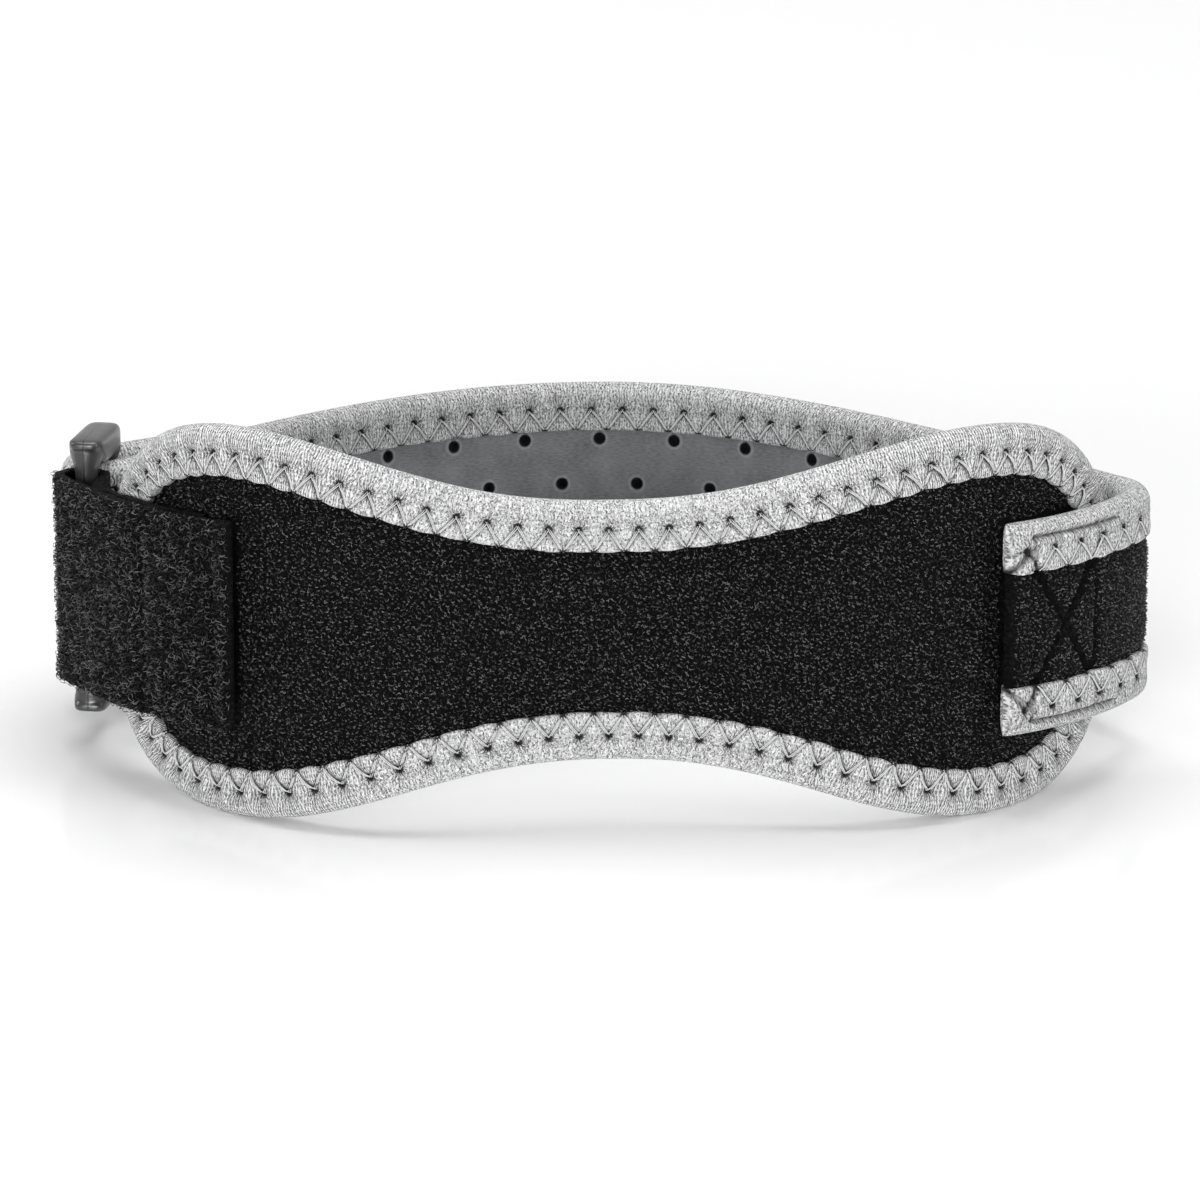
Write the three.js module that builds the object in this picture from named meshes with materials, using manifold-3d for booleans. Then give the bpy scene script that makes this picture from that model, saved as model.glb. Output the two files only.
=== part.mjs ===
// A knee strap that presses on the tendon below the kneecap, standing closed on a table.
// An hourglass pad with a bound edge stands in front. A bound, perforated strap is sewn to its
// right end, runs round the back, passes through a ring on the left and folds back on itself.
// A plush tab holds the ring to the pad's left end.
//
// Lengths are in millimetres. The loop is laid out level: X to the right, Y away from the front,
// Z up, with the middle of the pad's neutral surface at the origin. Then it leans back until it
// rests on the pad's two lobes and on the strap's lower edge at the back, with Z = 0 the table.
import * as THREE from "three";
import { mergeVertices } from "three/addons/utils/BufferGeometryUtils.js";
import Module from "manifold-3d";

const wasm = await Module();
wasm.setup();
const { Manifold, Mesh: SolidMesh } = wasm;

// Loop
const loopDepth = 107.7; // pad's neutral surface to the strap's, front to back
const turnRadius = 9; // the strap's bend at its right-hand side
const turnAngle = 66; // degrees that it turns there
const turnHandle = 0.32; // fullness of the back curve beside that bend
const backHandle = 0.33; // at the back's middle
const foldHandle = 0.39; // and beside the ring, each as a share of its side's chord
const strapRise = 0.8; // strap, ring and tab sit this far above the pad's middle

// Pad
const padHalfLength = 100.9; // along its curve, from its middle to either end
const padShift = 0.2; // its middle lies this far right of the loop's middle
const padFlat = 0.38; // nearly straight out to this share of its half length
const padWaist = 47.4; // height at the middle
const padHeight = 71.6; // height at the lobes
const lobePlace = 0.665; // where the lobes stand, as a share of padHalfLength
const waistSharpness = 1.19; // above 1 the waist is longer than the shoulders
const endSquareness = 2.3; // 2 is an elliptical end
// Its bend seen from above: headings in degrees at shares of its half length
const padBends = [
  { share: -1, heading: -59 },
  { share: -0.64, heading: -29 },
  { share: -0.36, heading: 1 },
  { share: -0.12, heading: 6 },
  { share: 0.16, heading: -1 },
  { share: 0.4, heading: 0 },
  { share: 0.7, heading: 31 },
  { share: 1, heading: 64 },
];
const faceThickness = 1.2; // looped cover
const foamEdge = 1.2; // foam where the binding grips it
const faceDome = 1.4; // how far the cover stands proud of its edge
const backDome = 3; // how far the foam does, behind
const domeRise = 20; // both reach their full height this far in from the binding's ends

// Edge binding of pad and strap
const bindingWall = 1;
const bindingWidth = 8.8;
const gatherPitch = 5.2; // one pinch of the pad's binding per stitch
const gatherPuff = 0.3; // it stands this much prouder between pinches
const gatherScallop = 0.7; // and its inner edge is this much wider there

// Strap
const strapWidth = 39;
const shellThickness = 1.2; // plush outer layer
const liningThickness = 1.2; // perforated inner layer
const lapLength = 32.2; // how far the strap's end lies on the pad
const strapDrop = 1.5; // its sewn end lies this far below the rest of it
const tailLength = 32; // folded back beyond the ring
const tailSettle = 26; // the tail closes onto the strap over this length
const holeDiameter = 2.1;
const holePitch = 15.2; // along a row
const rowPitch = 8.8; // between the three rows
const holeMargin = 7; // from either end of a perforated stretch to its first hole
const hookLength = 12; // hook patch that holds the tail
const hookInset = 3; // from the tail's end

// Ring
const ringBar = 4.2; // diameter of its two upright bars
const ringBlock = 4.6; // height of its two end blocks
const ringBlockWidth = 7.2;
const ringPlay = 0.6; // room in the slot above and below the strap
const slotPlay = 0.4; // and between the strap and the tab
const ringLip = 0.4; // the blocks reach this far past the bars
const ringCorner = 1.8;
const ringBevel = 0.7;
const ringTurn = 41; // degrees that it turns in from the pad's end
const ringReach = 8.4; // its near bar stands this far past the pad's end
const strapEntry = 60; // degrees off square at which the strap meets the ring

// Tab
const tabWidth = 38;
const tabThickness = 1.8;
const tabSlack = 1.6; // its fold is this much wider than the bar
const tabFrontLap = 36.2; // how far its front leaf lies on the pad
const tabBackLap = 30; // and its back leaf

const clearance = 0.3; // between pieces that touch on the real strap
const restFlat = 0.4; // how far the soft edges are pressed flat where they rest
const bendFacet = 4.2; // longest facet on a bend
const sweepFacet = 10.8; // longest facet on a nearly straight stretch

const radians = THREE.MathUtils.degToRad;
const smooth = THREE.MathUtils.smoothstep;

// Sizes that follow from those above
const padSlotHalf = (faceThickness + clearance + foamEdge) / 2 + clearance;
const padHalf = padSlotHalf + bindingWall;
const coreHalf = padSlotHalf - clearance; // half of cover and foam together, at their edge
const padProud = Math.max(padHalf + gatherPuff, coreHalf + faceDome);
const coreInset = bindingWall + clearance; // cover, foam and strap layers stop this far in
const bindingReach = bindingWidth + gatherScallop;
const strapSlotHalf = (shellThickness + clearance + liningThickness) / 2 + clearance;
const strapHalf = strapSlotHalf + bindingWall;
const shellInner = (liningThickness - shellThickness + clearance) / 2;
const shellOuter = shellInner + shellThickness;
const liningOuter = shellInner - clearance;
const liningInner = liningOuter - liningThickness;
const layerHeight = strapWidth - 2 * coreInset;
const strapOffset = padProud + clearance + strapHalf; // the strap's middle over the pad's
const backLeafOffset = padProud + clearance + tabThickness / 2;
const frontLeafOffset = backLeafOffset + clearance + tabThickness;
const padLeft = padShift - padHalfLength;
const padRight = padShift + padHalfLength;
const tabWrap = ringBar / 2 + clearance + (tabThickness + tabSlack) / 2;
const strapWrap = ringBar / 2 + clearance + strapHalf;
const barPitch = tabWrap + tabThickness / 2 + slotPlay + strapHalf + strapWrap;
const ringLength = barPitch + ringBar + 2 * ringLip;
const ringSlotHeight = Math.max(strapWidth, tabWidth) + 2 * ringPlay;

// A station is a point of a plan line and the heading there; its right-hand side faces outwards.
const station = (x, y, heading) => ({ x, y, heading });

function beside(at, outward) {
  const x = at.x + outward * Math.sin(at.heading);
  const y = at.y - outward * Math.cos(at.heading);
  return new THREE.Vector2(x, y);
}

// Stations through plan points, each heading along its neighbours
function stationsThrough(points) {
  return points.map((p, i) => {
    const a = points[Math.max(0, i - 1)];
    const b = points[Math.min(points.length - 1, i + 1)];
    return station(p.x, p.y, Math.atan2(b.y - a.y, b.x - a.x));
  });
}

// The pad's heading at the length u from the loop's middle
function padHeading(u) {
  const share = THREE.MathUtils.clamp((u - padShift) / padHalfLength, -1, 1);
  const next = Math.max(1, padBends.findIndex((bend) => bend.share >= share));
  const [a, b] = [padBends[next - 1], padBends[next]];
  return radians(THREE.MathUtils.mapLinear(share, a.share, b.share, a.heading, b.heading));
}

// Its neutral surface seen from above, at the same length
function padStation(u) {
  const count = 2 * Math.ceil(Math.abs(u)) + 1;
  const step = u / count;
  let [x, y] = [0, 0];
  for (let i = 0; i < count; i++) {
    const heading = padHeading(step * (i + 0.5));
    x += step * Math.cos(heading);
    y += step * Math.sin(heading);
  }
  return station(x, y, padHeading(u));
}

// The same line carried on straight past the pad's left end, where past is 0
function leftStation(past) {
  const at = padStation(padLeft + Math.max(0, -past));
  const beyond = Math.max(0, past);
  const x = at.x - beyond * Math.cos(at.heading);
  const y = at.y - beyond * Math.sin(at.heading);
  return station(x, y, at.heading);
}

// Half the pad's height at the length u
function padHalfHeight(u) {
  const share = Math.min(1, Math.abs(u - padShift) / padHalfLength);
  const waist = padWaist / 2;
  const lobe = padHeight / 2;
  if (share <= lobePlace) {
    const rise = (share / lobePlace) ** waistSharpness;
    return waist + ((lobe - waist) * (1 - Math.cos(Math.PI * rise))) / 2;
  }
  const past = (share - lobePlace) / (1 - lobePlace);
  return lobe * Math.max(0, 1 - past ** endSquareness) ** (1 / endSquareness);
}

// The same for a line that runs a set distance inside the outline
function insetHalfHeight(u, inset) {
  const probe = 0.5;
  const slope = (padHalfHeight(u + probe) - padHalfHeight(u - probe)) / (2 * probe);
  return padHalfHeight(u) - inset * Math.hypot(1, slope);
}

// Evenly spaced points round the pad's outline in (u, z), anticlockwise from its right end
function padOutline() {
  const steps = 720;
  const dense = [];
  for (let i = 0; i < steps; i++) {
    const angle = (2 * Math.PI * i) / steps;
    const u = padShift + padHalfLength * Math.cos(angle);
    dense.push(new THREE.Vector2(u, Math.sign(Math.sin(angle)) * padHalfHeight(u)));
  }
  const lengths = [0];
  dense.forEach((p, i) => lengths.push(lengths[i] + p.distanceTo(dense[(i + 1) % steps])));
  const total = lengths[steps];
  const count = 2 * Math.round(total / gatherPitch);
  const points = [];
  for (let i = 0, k = 0; i < count; i++) {
    const want = (total * i) / count;
    while (lengths[k + 1] < want) k++;
    const share = (want - lengths[k]) / (lengths[k + 1] - lengths[k]);
    points.push(dense[k].clone().lerp(dense[(k + 1) % steps], share));
  }
  return points;
}

// A closed solid through rings with equal numbers of points; a closed loft has no end faces.
function loft(rings, closed) {
  const size = rings[0].length;
  const faces = [];
  const spans = closed ? rings.length : rings.length - 1;
  for (let i = 0; i < spans; i++) {
    const next = (i + 1) % rings.length;
    for (let j = 0; j < size; j++) {
      const k = (j + 1) % size;
      faces.push(i * size + j, i * size + k, next * size + k);
      faces.push(i * size + j, next * size + k, next * size + j);
    }
  }
  if (!closed) {
    const last = (rings.length - 1) * size;
    for (const [a, b, c] of endFaces(rings[0])) {
      faces.push(a, c, b);
      faces.push(last + a, last + b, last + c);
    }
  }
  const positions = rings.flat().flatMap((p) => p.toArray());
  const geometry = new THREE.BufferGeometry();
  geometry.setAttribute("position", new THREE.Float32BufferAttribute(positions, 3));
  geometry.setIndex(faces);
  return geometry;
}

// Triangles that fill a flat ring of points
function endFaces(ring) {
  const from = (p) => new THREE.Vector3().subVectors(p, ring[0]);
  const normal = new THREE.Vector3();
  for (let i = 1; i + 1 < ring.length; i++) normal.add(from(ring[i]).cross(from(ring[i + 1])));
  const across = from(ring[1]).normalize();
  const up = normal.normalize().clone().cross(across);
  const flat = ring.map((p) => new THREE.Vector2(from(p).dot(across), from(p).dot(up)));
  return THREE.ShapeUtils.triangulateShape(flat, []);
}

// A geometry as a solid for cuts and joins, with its faces pointing out
function toSolid(geometry) {
  const bare = new THREE.BufferGeometry();
  bare.setAttribute("position", geometry.getAttribute("position").clone());
  if (geometry.index) bare.setIndex(geometry.index.clone());
  const merged = mergeVertices(bare, 1e-4);
  const positions = new Float32Array(merged.attributes.position.array);
  const faces = new Uint32Array(merged.index.array);
  const build = () =>
    new Manifold(new SolidMesh({ numProp: 3, vertProperties: positions, triVerts: faces }));
  const solid = build();
  if (solid.volume() > 0) return solid;
  for (let i = 0; i < faces.length; i += 3) {
    [faces[i + 1], faces[i + 2]] = [faces[i + 2], faces[i + 1]];
  }
  return build();
}

function toGeometry(solid) {
  const { numProp, vertProperties, triVerts } = solid.getMesh();
  const positions = [];
  for (let i = 0; i < vertProperties.length; i += numProp) {
    positions.push(vertProperties[i], vertProperties[i + 1], vertProperties[i + 2]);
  }
  const geometry = new THREE.BufferGeometry();
  geometry.setAttribute("position", new THREE.Float32BufferAttribute(positions, 3));
  geometry.setIndex([...triVerts]);
  return geometry;
}

// An upright wall over a plan outline, centred on Z = 0
function wall(outline, height) {
  const shape = new THREE.Shape(outline);
  const geometry = new THREE.ExtrudeGeometry(shape, { depth: height, bevelEnabled: false });
  return geometry.translate(0, 0, -height / 2);
}

// An upright strip between two distances from a plan line
function strip(line, inner, outer, height) {
  const outside = line.map((at) => beside(at, outer));
  const inside = line.map((at) => beside(at, inner));
  return wall([...outside, ...inside.reverse()], height);
}

function arcStations(centre, radius, from, turn, facet) {
  const count = Math.max(2, Math.ceil((Math.abs(turn) * radius) / facet));
  const side = Math.sign(turn);
  const stations = [];
  for (let i = 0; i <= count; i++) {
    const heading = from + (turn * i) / count;
    const p = beside(station(centre.x, centre.y, heading), side * radius);
    stations.push(station(p.x, p.y, heading));
  }
  return stations;
}

// A smooth curve between two stations, with the fullness at its start and its end
function sweepStations(from, to, start, end, facet) {
  const chord = Math.hypot(to.x - from.x, to.y - from.y);
  const ahead = (at, length) => {
    const x = at.x + length * Math.cos(at.heading);
    return new THREE.Vector2(x, at.y + length * Math.sin(at.heading));
  };
  const handles = [ahead(from, start * chord), ahead(to, -end * chord)];
  const ends = [ahead(from, 0), ...handles, ahead(to, 0)];
  const curve = new THREE.CubicBezierCurve(...ends);
  const count = Math.ceil(curve.getLength() / facet);
  const stations = [];
  for (let i = 0; i <= count; i++) {
    const p = curve.getPointAt(i / count);
    const t = curve.getTangentAt(i / count);
    stations.push(station(p.x, p.y, Math.atan2(t.y, t.x)));
  }
  return stations;
}

function lineLength(line) {
  let length = 0;
  for (let i = 1; i < line.length; i++) {
    length += Math.hypot(line[i].x - line[i - 1].x, line[i].y - line[i - 1].y);
  }
  return length;
}

// The station at a distance along a line
function stationAlong(line, distance) {
  let left = distance;
  for (let i = 1; i < line.length; i++) {
    const [a, b] = [line[i - 1], line[i]];
    const step = Math.hypot(b.x - a.x, b.y - a.y);
    if (left <= step || i === line.length - 1) {
      const share = left / step;
      const heading = Math.atan2(b.y - a.y, b.x - a.x);
      return station(a.x + share * (b.x - a.x), a.y + share * (b.y - a.y), heading);
    }
    left -= step;
  }
}

// The part of a line between two distances along it
function stretch(line, from, to) {
  const inside = line.filter((_, i) => {
    const here = lineLength(line.slice(0, i + 1));
    return here > from + clearance && here < to - clearance;
  });
  return [stationAlong(line, from), ...inside, stationAlong(line, to)];
}

// Stations at least a pitch apart that share a line evenly between two margins
function spaced(line, pitch, margin, stagger) {
  const room = lineLength(line) - 2 * margin;
  const count = Math.max(1, Math.floor(room / pitch));
  const stations = [];
  for (let i = 0; i + stagger <= count; i++) {
    stations.push(stationAlong(line, margin + ((i + stagger) * room) / count));
  }
  return stations;
}

// The ring's bars in plan: the near one lies in the tab's fold, the far one in the strap's.
const tabFold = beside(leftStation(ringReach), frontLeafOffset - tabWrap);
const nearBar = beside(leftStation(ringReach), frontLeafOffset - tabWrap - tabSlack / 2);
const ringHeading = padStation(padLeft).heading + Math.PI - radians(ringTurn);
const ringAxis = new THREE.Vector2(Math.cos(ringHeading), Math.sin(ringHeading));
const farBar = nearBar.clone().addScaledVector(ringAxis, barPitch);

// The strap's middle line: its lap on the pad, the run round the back, the fold and the tail
function lapStations() {
  const count = Math.ceil(lapLength / bendFacet);
  const stations = [];
  for (let i = 0; i <= count; i++) {
    const at = padStation(padRight - lapLength * (1 - i / count));
    const p = beside(at, strapOffset);
    stations.push(station(p.x, p.y, at.heading));
  }
  return stations;
}

function tailStations(run) {
  const closed = 2 * strapHalf + clearance;
  const points = [];
  for (let i = run.length - 1; i >= 0; i--) {
    const length = lineLength(run.slice(i));
    if (length > tailLength) break;
    const opening = (2 * strapWrap - closed) * (1 - smooth(length, 0, tailSettle));
    points.push(beside(run[i], closed + opening));
  }
  return stationsThrough(points);
}

const lap = lapStations();
const leaving = lap.at(-1);
const turnCentre = beside(leaving, -turnRadius);
const turnBy = radians(turnAngle);
const turn = arcStations(turnCentre, turnRadius, leaving.heading, turnBy, bendFacet);
const entry = ringHeading + Math.PI / 2 + radians(strapEntry);
const fold = arcStations(farBar, strapWrap, entry, -Math.PI, bendFacet / 2);
const backMiddle = station(0, loopDepth, Math.PI);
const backRight = sweepStations(turn.at(-1), backMiddle, turnHandle, backHandle, sweepFacet);
const leftFacet = (sweepFacet + bendFacet) / 2;
const backLeft = sweepStations(backMiddle, fold[0], backHandle, foldHandle, leftFacet);
const run = [...turn, ...backRight.slice(1), ...backLeft.slice(1)];
const tail = tailStations(run);
const strapLine = [...lap, ...run.slice(1), ...fold.slice(1), ...tail.slice(1)];

// The strap sinks towards its sewn end: not at all at the back's middle, fully at the pad.
function sink(geometry) {
  const position = geometry.getAttribute("position");
  for (let i = 0; i < position.count; i++) {
    const share = smooth(position.getX(i), backMiddle.x, lap[0].x);
    position.setZ(i, position.getZ(i) - strapDrop * share);
  }
  return geometry;
}

// A bound edge's section: inward is measured from its outer edge, outward across its thickness.
function bindingSection(half, slot, width) {
  const nose = [];
  const segments = 3;
  for (let i = 0; i <= segments; i++) {
    const angle = Math.PI * (0.5 - i / segments);
    nose.push({ inward: half * (1 - Math.cos(angle)), outward: half * Math.sin(angle) });
  }
  return [
    { inward: width, outward: half },
    ...nose,
    { inward: width, outward: -half },
    { inward: width, outward: -slot },
    { inward: bindingWall, outward: -slot },
    { inward: bindingWall, outward: slot },
    { inward: width, outward: slot },
  ];
}

// A point at (u, z) on the pad, at a height over its neutral surface
function onPad(u, z, outward) {
  const p = beside(padStation(u), outward);
  return new THREE.Vector3(p.x, p.y, z);
}

function padBinding() {
  const outline = padOutline();
  const rings = outline.map((p, i) => {
    const next = outline[(i + 1) % outline.length];
    const heading = new THREE.Vector2().subVectors(next, outline.at(i - 1)).normalize();
    const puffed = i % 2;
    const half = padHalf + puffed * gatherPuff;
    const width = bindingWidth + puffed * gatherScallop;
    return bindingSection(half, padSlotHalf, width).map(({ inward, outward }) =>
      onPad(p.x - inward * heading.y, p.y + inward * heading.x, outward),
    );
  });
  return loft(rings, true);
}

// Lengths along the pad where cover and foam have a column of points
function padColumns() {
  const flat = padFlat * padHalfLength;
  const end = padHalfLength - coreInset - bindingWidth / 4;
  const stops = [
    { from: 0, to: flat, facet: sweepFacet },
    { from: flat, to: end, facet: bendFacet },
  ];
  const half = stops.flatMap(({ from, to, facet }) => {
    const count = Math.ceil((to - from) / facet);
    return Array.from({ length: count }, (_, i) => from + ((to - from) * (i + 1)) / count);
  });
  const left = half.map((length) => padShift - length);
  return [...left.reverse(), padShift, ...half.map((length) => padShift + length)];
}

// Heights of the points in a column: the sheet's edges, the binding's edges and the dome between
function padRows(u) {
  const edge = insetHalfHeight(u, coreInset);
  const dome = Math.max(edge / 2, insetHalfHeight(u, bindingReach));
  const shares = [-1, -0.6, -0.2, 0.2, 0.6, 1];
  const end = padHalfLength - Math.abs(u - padShift);
  const rise = smooth(end, bindingReach, bindingReach + domeRise);
  const inner = shares.map((share) => ({ z: share * dome, dome: rise * (1 - share ** 2) }));
  return [{ z: -edge, dome: 0 }, ...inner, { z: edge, dome: 0 }];
}

// A sheet of the pad between two surfaces, each its height at the edge and its dome
function padSheet(front, back) {
  const rings = padColumns().map((u) => {
    const rows = padRows(u);
    const outer = rows.map(({ z, dome }) => onPad(u, z, front.edge + front.dome * dome));
    const inner = rows.map(({ z, dome }) => onPad(u, z, back.edge + back.dome * dome));
    return [...outer, ...inner.reverse()];
  });
  return loft(rings, false);
}

function padFace() {
  const front = { edge: coreHalf, dome: faceDome };
  return padSheet(front, { edge: coreHalf - faceThickness, dome: faceDome });
}

function padCushion() {
  const front = { edge: foamEdge - coreHalf, dome: faceDome };
  return padSheet(front, { edge: -coreHalf, dome: -backDome });
}

// The plush layer turns in over the lining at the strap's sewn end.
function strapShell() {
  const lip = stationAlong(strapLine, shellThickness);
  const outside = strapLine.map((at) => beside(at, shellOuter));
  const inside = [lip, ...strapLine.slice(1)].map((at) => beside(at, shellInner));
  const turnedIn = [lip, strapLine[0]].map((at) => beside(at, liningInner));
  return sink(wall([...outside, ...inside.reverse(), ...turnedIn], layerHeight));
}

function punches(line) {
  const radius = holeDiameter / 2;
  const drill = new THREE.CylinderGeometry(radius, radius, 2 * liningThickness, 6);
  const rows = [
    { height: rowPitch, stagger: 0 },
    { height: 0, stagger: 0.5 },
    { height: -rowPitch, stagger: 0 },
  ];
  return rows.flatMap(({ height, stagger }) =>
    spaced(line, holePitch, holeMargin, stagger).map((at) => {
      const p = beside(at, (liningInner + liningOuter) / 2);
      return drill.clone().rotateZ(at.heading).translate(p.x, p.y, height);
    }),
  );
}

function strapLining() {
  const start = shellThickness + clearance;
  const line = stretch(strapLine, start, lineLength(strapLine));
  const sheet = strip(line, liningInner, liningOuter, layerHeight);
  const drills = [...punches(run), ...punches(tail)].map(toSolid);
  return sink(toGeometry(toSolid(sheet).subtract(Manifold.union(drills))));
}

// One bound edge of the strap: side is 1 for its top edge and -1 for its bottom edge.
function strapBinding(side) {
  const section = bindingSection(strapHalf, strapSlotHalf, bindingWidth);
  const rings = strapLine.map((at) =>
    section.map(({ inward, outward }) => {
      const p = beside(at, outward);
      return new THREE.Vector3(p.x, p.y, side * (strapWidth / 2 - inward));
    }),
  );
  return sink(loft(rings, false));
}

// The hook patch fills the hollow between the strap and its tail, between their bindings.
function hookPatch() {
  const end = lineLength(tail) - hookInset;
  const line = stretch(tail, end - hookLength, end);
  const face = shellOuter + clearance;
  const facing = 2 * strapHalf + clearance - face;
  const height = strapWidth - 2 * (bindingWidth + clearance);
  return strip(line, face, facing, height);
}

// The ring lies along X about its own middle, with its bars upright.
function ringBody() {
  const halfLength = ringLength / 2 - ringBevel;
  const halfWidth = ringBlockWidth / 2 - ringBevel;
  const round = Math.min(ringCorner - ringBevel, halfWidth);
  const outline = new THREE.Shape();
  outline.absarc(halfLength - round, halfWidth - round, round, 0, Math.PI / 2);
  outline.absarc(round - halfLength, halfWidth - round, round, Math.PI / 2, Math.PI);
  outline.absarc(round - halfLength, round - halfWidth, round, Math.PI, 1.5 * Math.PI);
  outline.absarc(halfLength - round, round - halfWidth, round, 1.5 * Math.PI, 2 * Math.PI);
  const block = new THREE.ExtrudeGeometry(outline, {
    depth: ringBlock - 2 * ringBevel,
    bevelThickness: ringBevel,
    bevelSize: ringBevel,
    bevelSegments: 2,
    curveSegments: 3,
  }).translate(0, 0, ringSlotHeight / 2 + ringBevel);
  const radius = ringBar / 2;
  const bar = new THREE.CylinderGeometry(radius, radius, ringSlotHeight + ringBlock, 12);
  bar.rotateX(Math.PI / 2);
  const top = toSolid(block);
  const bottom = toSolid(block.clone().rotateX(Math.PI));
  const near = toSolid(bar.clone().translate(-barPitch / 2, 0, 0));
  const far = toSolid(bar.translate(barPitch / 2, 0, 0));
  return toGeometry(Manifold.union([top, bottom, near, far]));
}

// The tab's front leaf lies outermost, turns round the near bar and comes back beneath itself.
function tabBody() {
  const front = [];
  const frontLength = tabFrontLap + ringReach;
  const frontCount = Math.ceil(frontLength / bendFacet);
  for (let i = 0; i < frontCount; i++) {
    front.push(beside(leftStation((frontLength * i) / frontCount - tabFrontLap), frontLeafOffset));
  }
  const back = [];
  const backLength = tabBackLap + ringReach;
  const backCount = Math.ceil((2 * backLength) / bendFacet);
  const dip = frontLeafOffset - 2 * tabWrap - backLeafOffset;
  for (let i = 1; i <= backCount; i++) {
    const length = (backLength * i) / backCount;
    const sag = dip * (1 - smooth(length, 0, ringReach + tabThickness));
    back.push(beside(leftStation(ringReach - length), backLeafOffset + sag));
  }
  const heading = padStation(padLeft).heading + Math.PI;
  const wrap = arcStations(tabFold, tabWrap, heading, -Math.PI, bendFacet / 2);
  const line = stationsThrough([...front, ...wrap, ...back]);
  return strip(line, -tabThickness / 2, tabThickness / 2, tabWidth);
}

// How low a geometry reaches once it leans back by an angle
function lowest(geometry, lean) {
  const position = geometry.getAttribute("position");
  let height = Infinity;
  for (let i = 0; i < position.count; i++) {
    const leant = position.getZ(i) * Math.cos(lean) - position.getY(i) * Math.sin(lean);
    height = Math.min(height, leant);
  }
  return height;
}

// The lean at which the pad's lobes and the strap's back stand on one table
function restingLean(front, back) {
  let [least, most] = [-Math.PI / 4, Math.PI / 4];
  for (let i = 0; i < 40; i++) {
    const lean = (least + most) / 2;
    if (lowest(back, lean) > lowest(front, lean)) least = lean;
    else most = lean;
  }
  return (least + most) / 2;
}

function piece(name, geometry, look) {
  const mesh = new THREE.Mesh(geometry, new THREE.MeshStandardMaterial(look));
  mesh.name = name;
  return mesh;
}

const looks = {
  terry: { color: 0x1a1a1c, roughness: 0.97, metalness: 0 },
  plush: { color: 0x131315, roughness: 0.93, metalness: 0 },
  knit: { color: 0xb4b7bb, roughness: 0.88, metalness: 0 },
  mesh: { color: 0x8d9095, roughness: 0.9, metalness: 0 },
  moulded: { color: 0x3a3c40, roughness: 0.45, metalness: 0 },
};

const padEdge = padBinding();
const strapEdge = strapBinding(-1).translate(0, 0, strapRise);
const lean = restingLean(padEdge, strapEdge);
const loop = new THREE.Group();
loop.rotation.x = -lean;
loop.position.z = -restFlat - lowest(padEdge, lean);
loop.updateMatrixWorld(true);
const tableSize = 4 * (padHalfLength + loopDepth);
const below = new THREE.BoxGeometry(tableSize, tableSize, tableSize);
below.translate(0, 0, -tableSize / 2).applyMatrix4(loop.matrixWorld.clone().invert());
const pressed = (geometry) => toGeometry(toSolid(geometry).subtract(toSolid(below)));

const pad = new THREE.Group().add(
  piece("pad_face", toGeometry(toSolid(padFace())), looks.terry),
  piece("pad_cushion", toGeometry(toSolid(padCushion())), looks.mesh),
  piece("pad_binding", pressed(padEdge), looks.knit),
);
const strap = new THREE.Group().add(
  piece("strap_shell", toGeometry(toSolid(strapShell())), looks.plush),
  piece("strap_lining", strapLining(), looks.mesh),
  piece("strap_binding_top", toGeometry(toSolid(strapBinding(1))), looks.knit),
  piece("strap_binding_bottom", pressed(strapEdge).translate(0, 0, -strapRise), looks.knit),
  piece("hook_patch", toGeometry(toSolid(hookPatch())), looks.plush),
);
const ring = piece("ring", ringBody(), looks.moulded);
ring.position.set((nearBar.x + farBar.x) / 2, (nearBar.y + farBar.y) / 2, strapRise);
ring.rotation.z = ringHeading;
const tab = piece("tab", toGeometry(toSolid(tabBody())), looks.plush);
strap.position.z = strapRise;
tab.position.z = strapRise;
loop.add(pad, strap, ring, tab);

// The middle of the whole, seen from above, stands over the origin.
const middle = new THREE.Box3().setFromObject(loop, true).getCenter(new THREE.Vector3());
loop.position.x -= middle.x;
loop.position.y -= middle.y;

export default new THREE.Group().add(loop);
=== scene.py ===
"""Looks of a knee strap: cloth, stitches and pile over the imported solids.

Lengths are in millimetres in the loop's own level frame, as the part is laid out: X to the right,
Y away from the front, Z up, with the middle of the pad's neutral surface at the origin. to_world
leans that frame back onto the table and gives metres.
"""
import math

import bpy
import numpy as np
from mathutils import Matrix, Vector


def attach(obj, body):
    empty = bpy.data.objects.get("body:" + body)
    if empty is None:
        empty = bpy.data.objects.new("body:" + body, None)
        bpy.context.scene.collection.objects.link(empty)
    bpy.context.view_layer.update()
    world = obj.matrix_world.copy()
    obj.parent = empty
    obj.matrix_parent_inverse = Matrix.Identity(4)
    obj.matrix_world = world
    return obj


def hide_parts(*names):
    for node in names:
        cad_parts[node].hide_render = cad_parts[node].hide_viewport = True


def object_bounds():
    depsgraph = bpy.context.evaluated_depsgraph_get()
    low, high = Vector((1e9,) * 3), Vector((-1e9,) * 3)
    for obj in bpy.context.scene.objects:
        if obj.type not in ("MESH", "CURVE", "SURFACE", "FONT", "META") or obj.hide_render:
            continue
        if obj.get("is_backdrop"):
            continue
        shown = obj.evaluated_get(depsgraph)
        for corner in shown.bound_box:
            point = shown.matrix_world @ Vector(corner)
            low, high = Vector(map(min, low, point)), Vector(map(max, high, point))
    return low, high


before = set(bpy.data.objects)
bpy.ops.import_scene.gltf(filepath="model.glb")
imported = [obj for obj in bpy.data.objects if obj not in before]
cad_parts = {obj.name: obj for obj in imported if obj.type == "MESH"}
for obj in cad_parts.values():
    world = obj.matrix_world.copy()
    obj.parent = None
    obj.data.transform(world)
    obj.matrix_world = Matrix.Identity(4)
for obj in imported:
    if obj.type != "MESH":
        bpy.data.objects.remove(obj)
cad_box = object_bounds()

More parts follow.
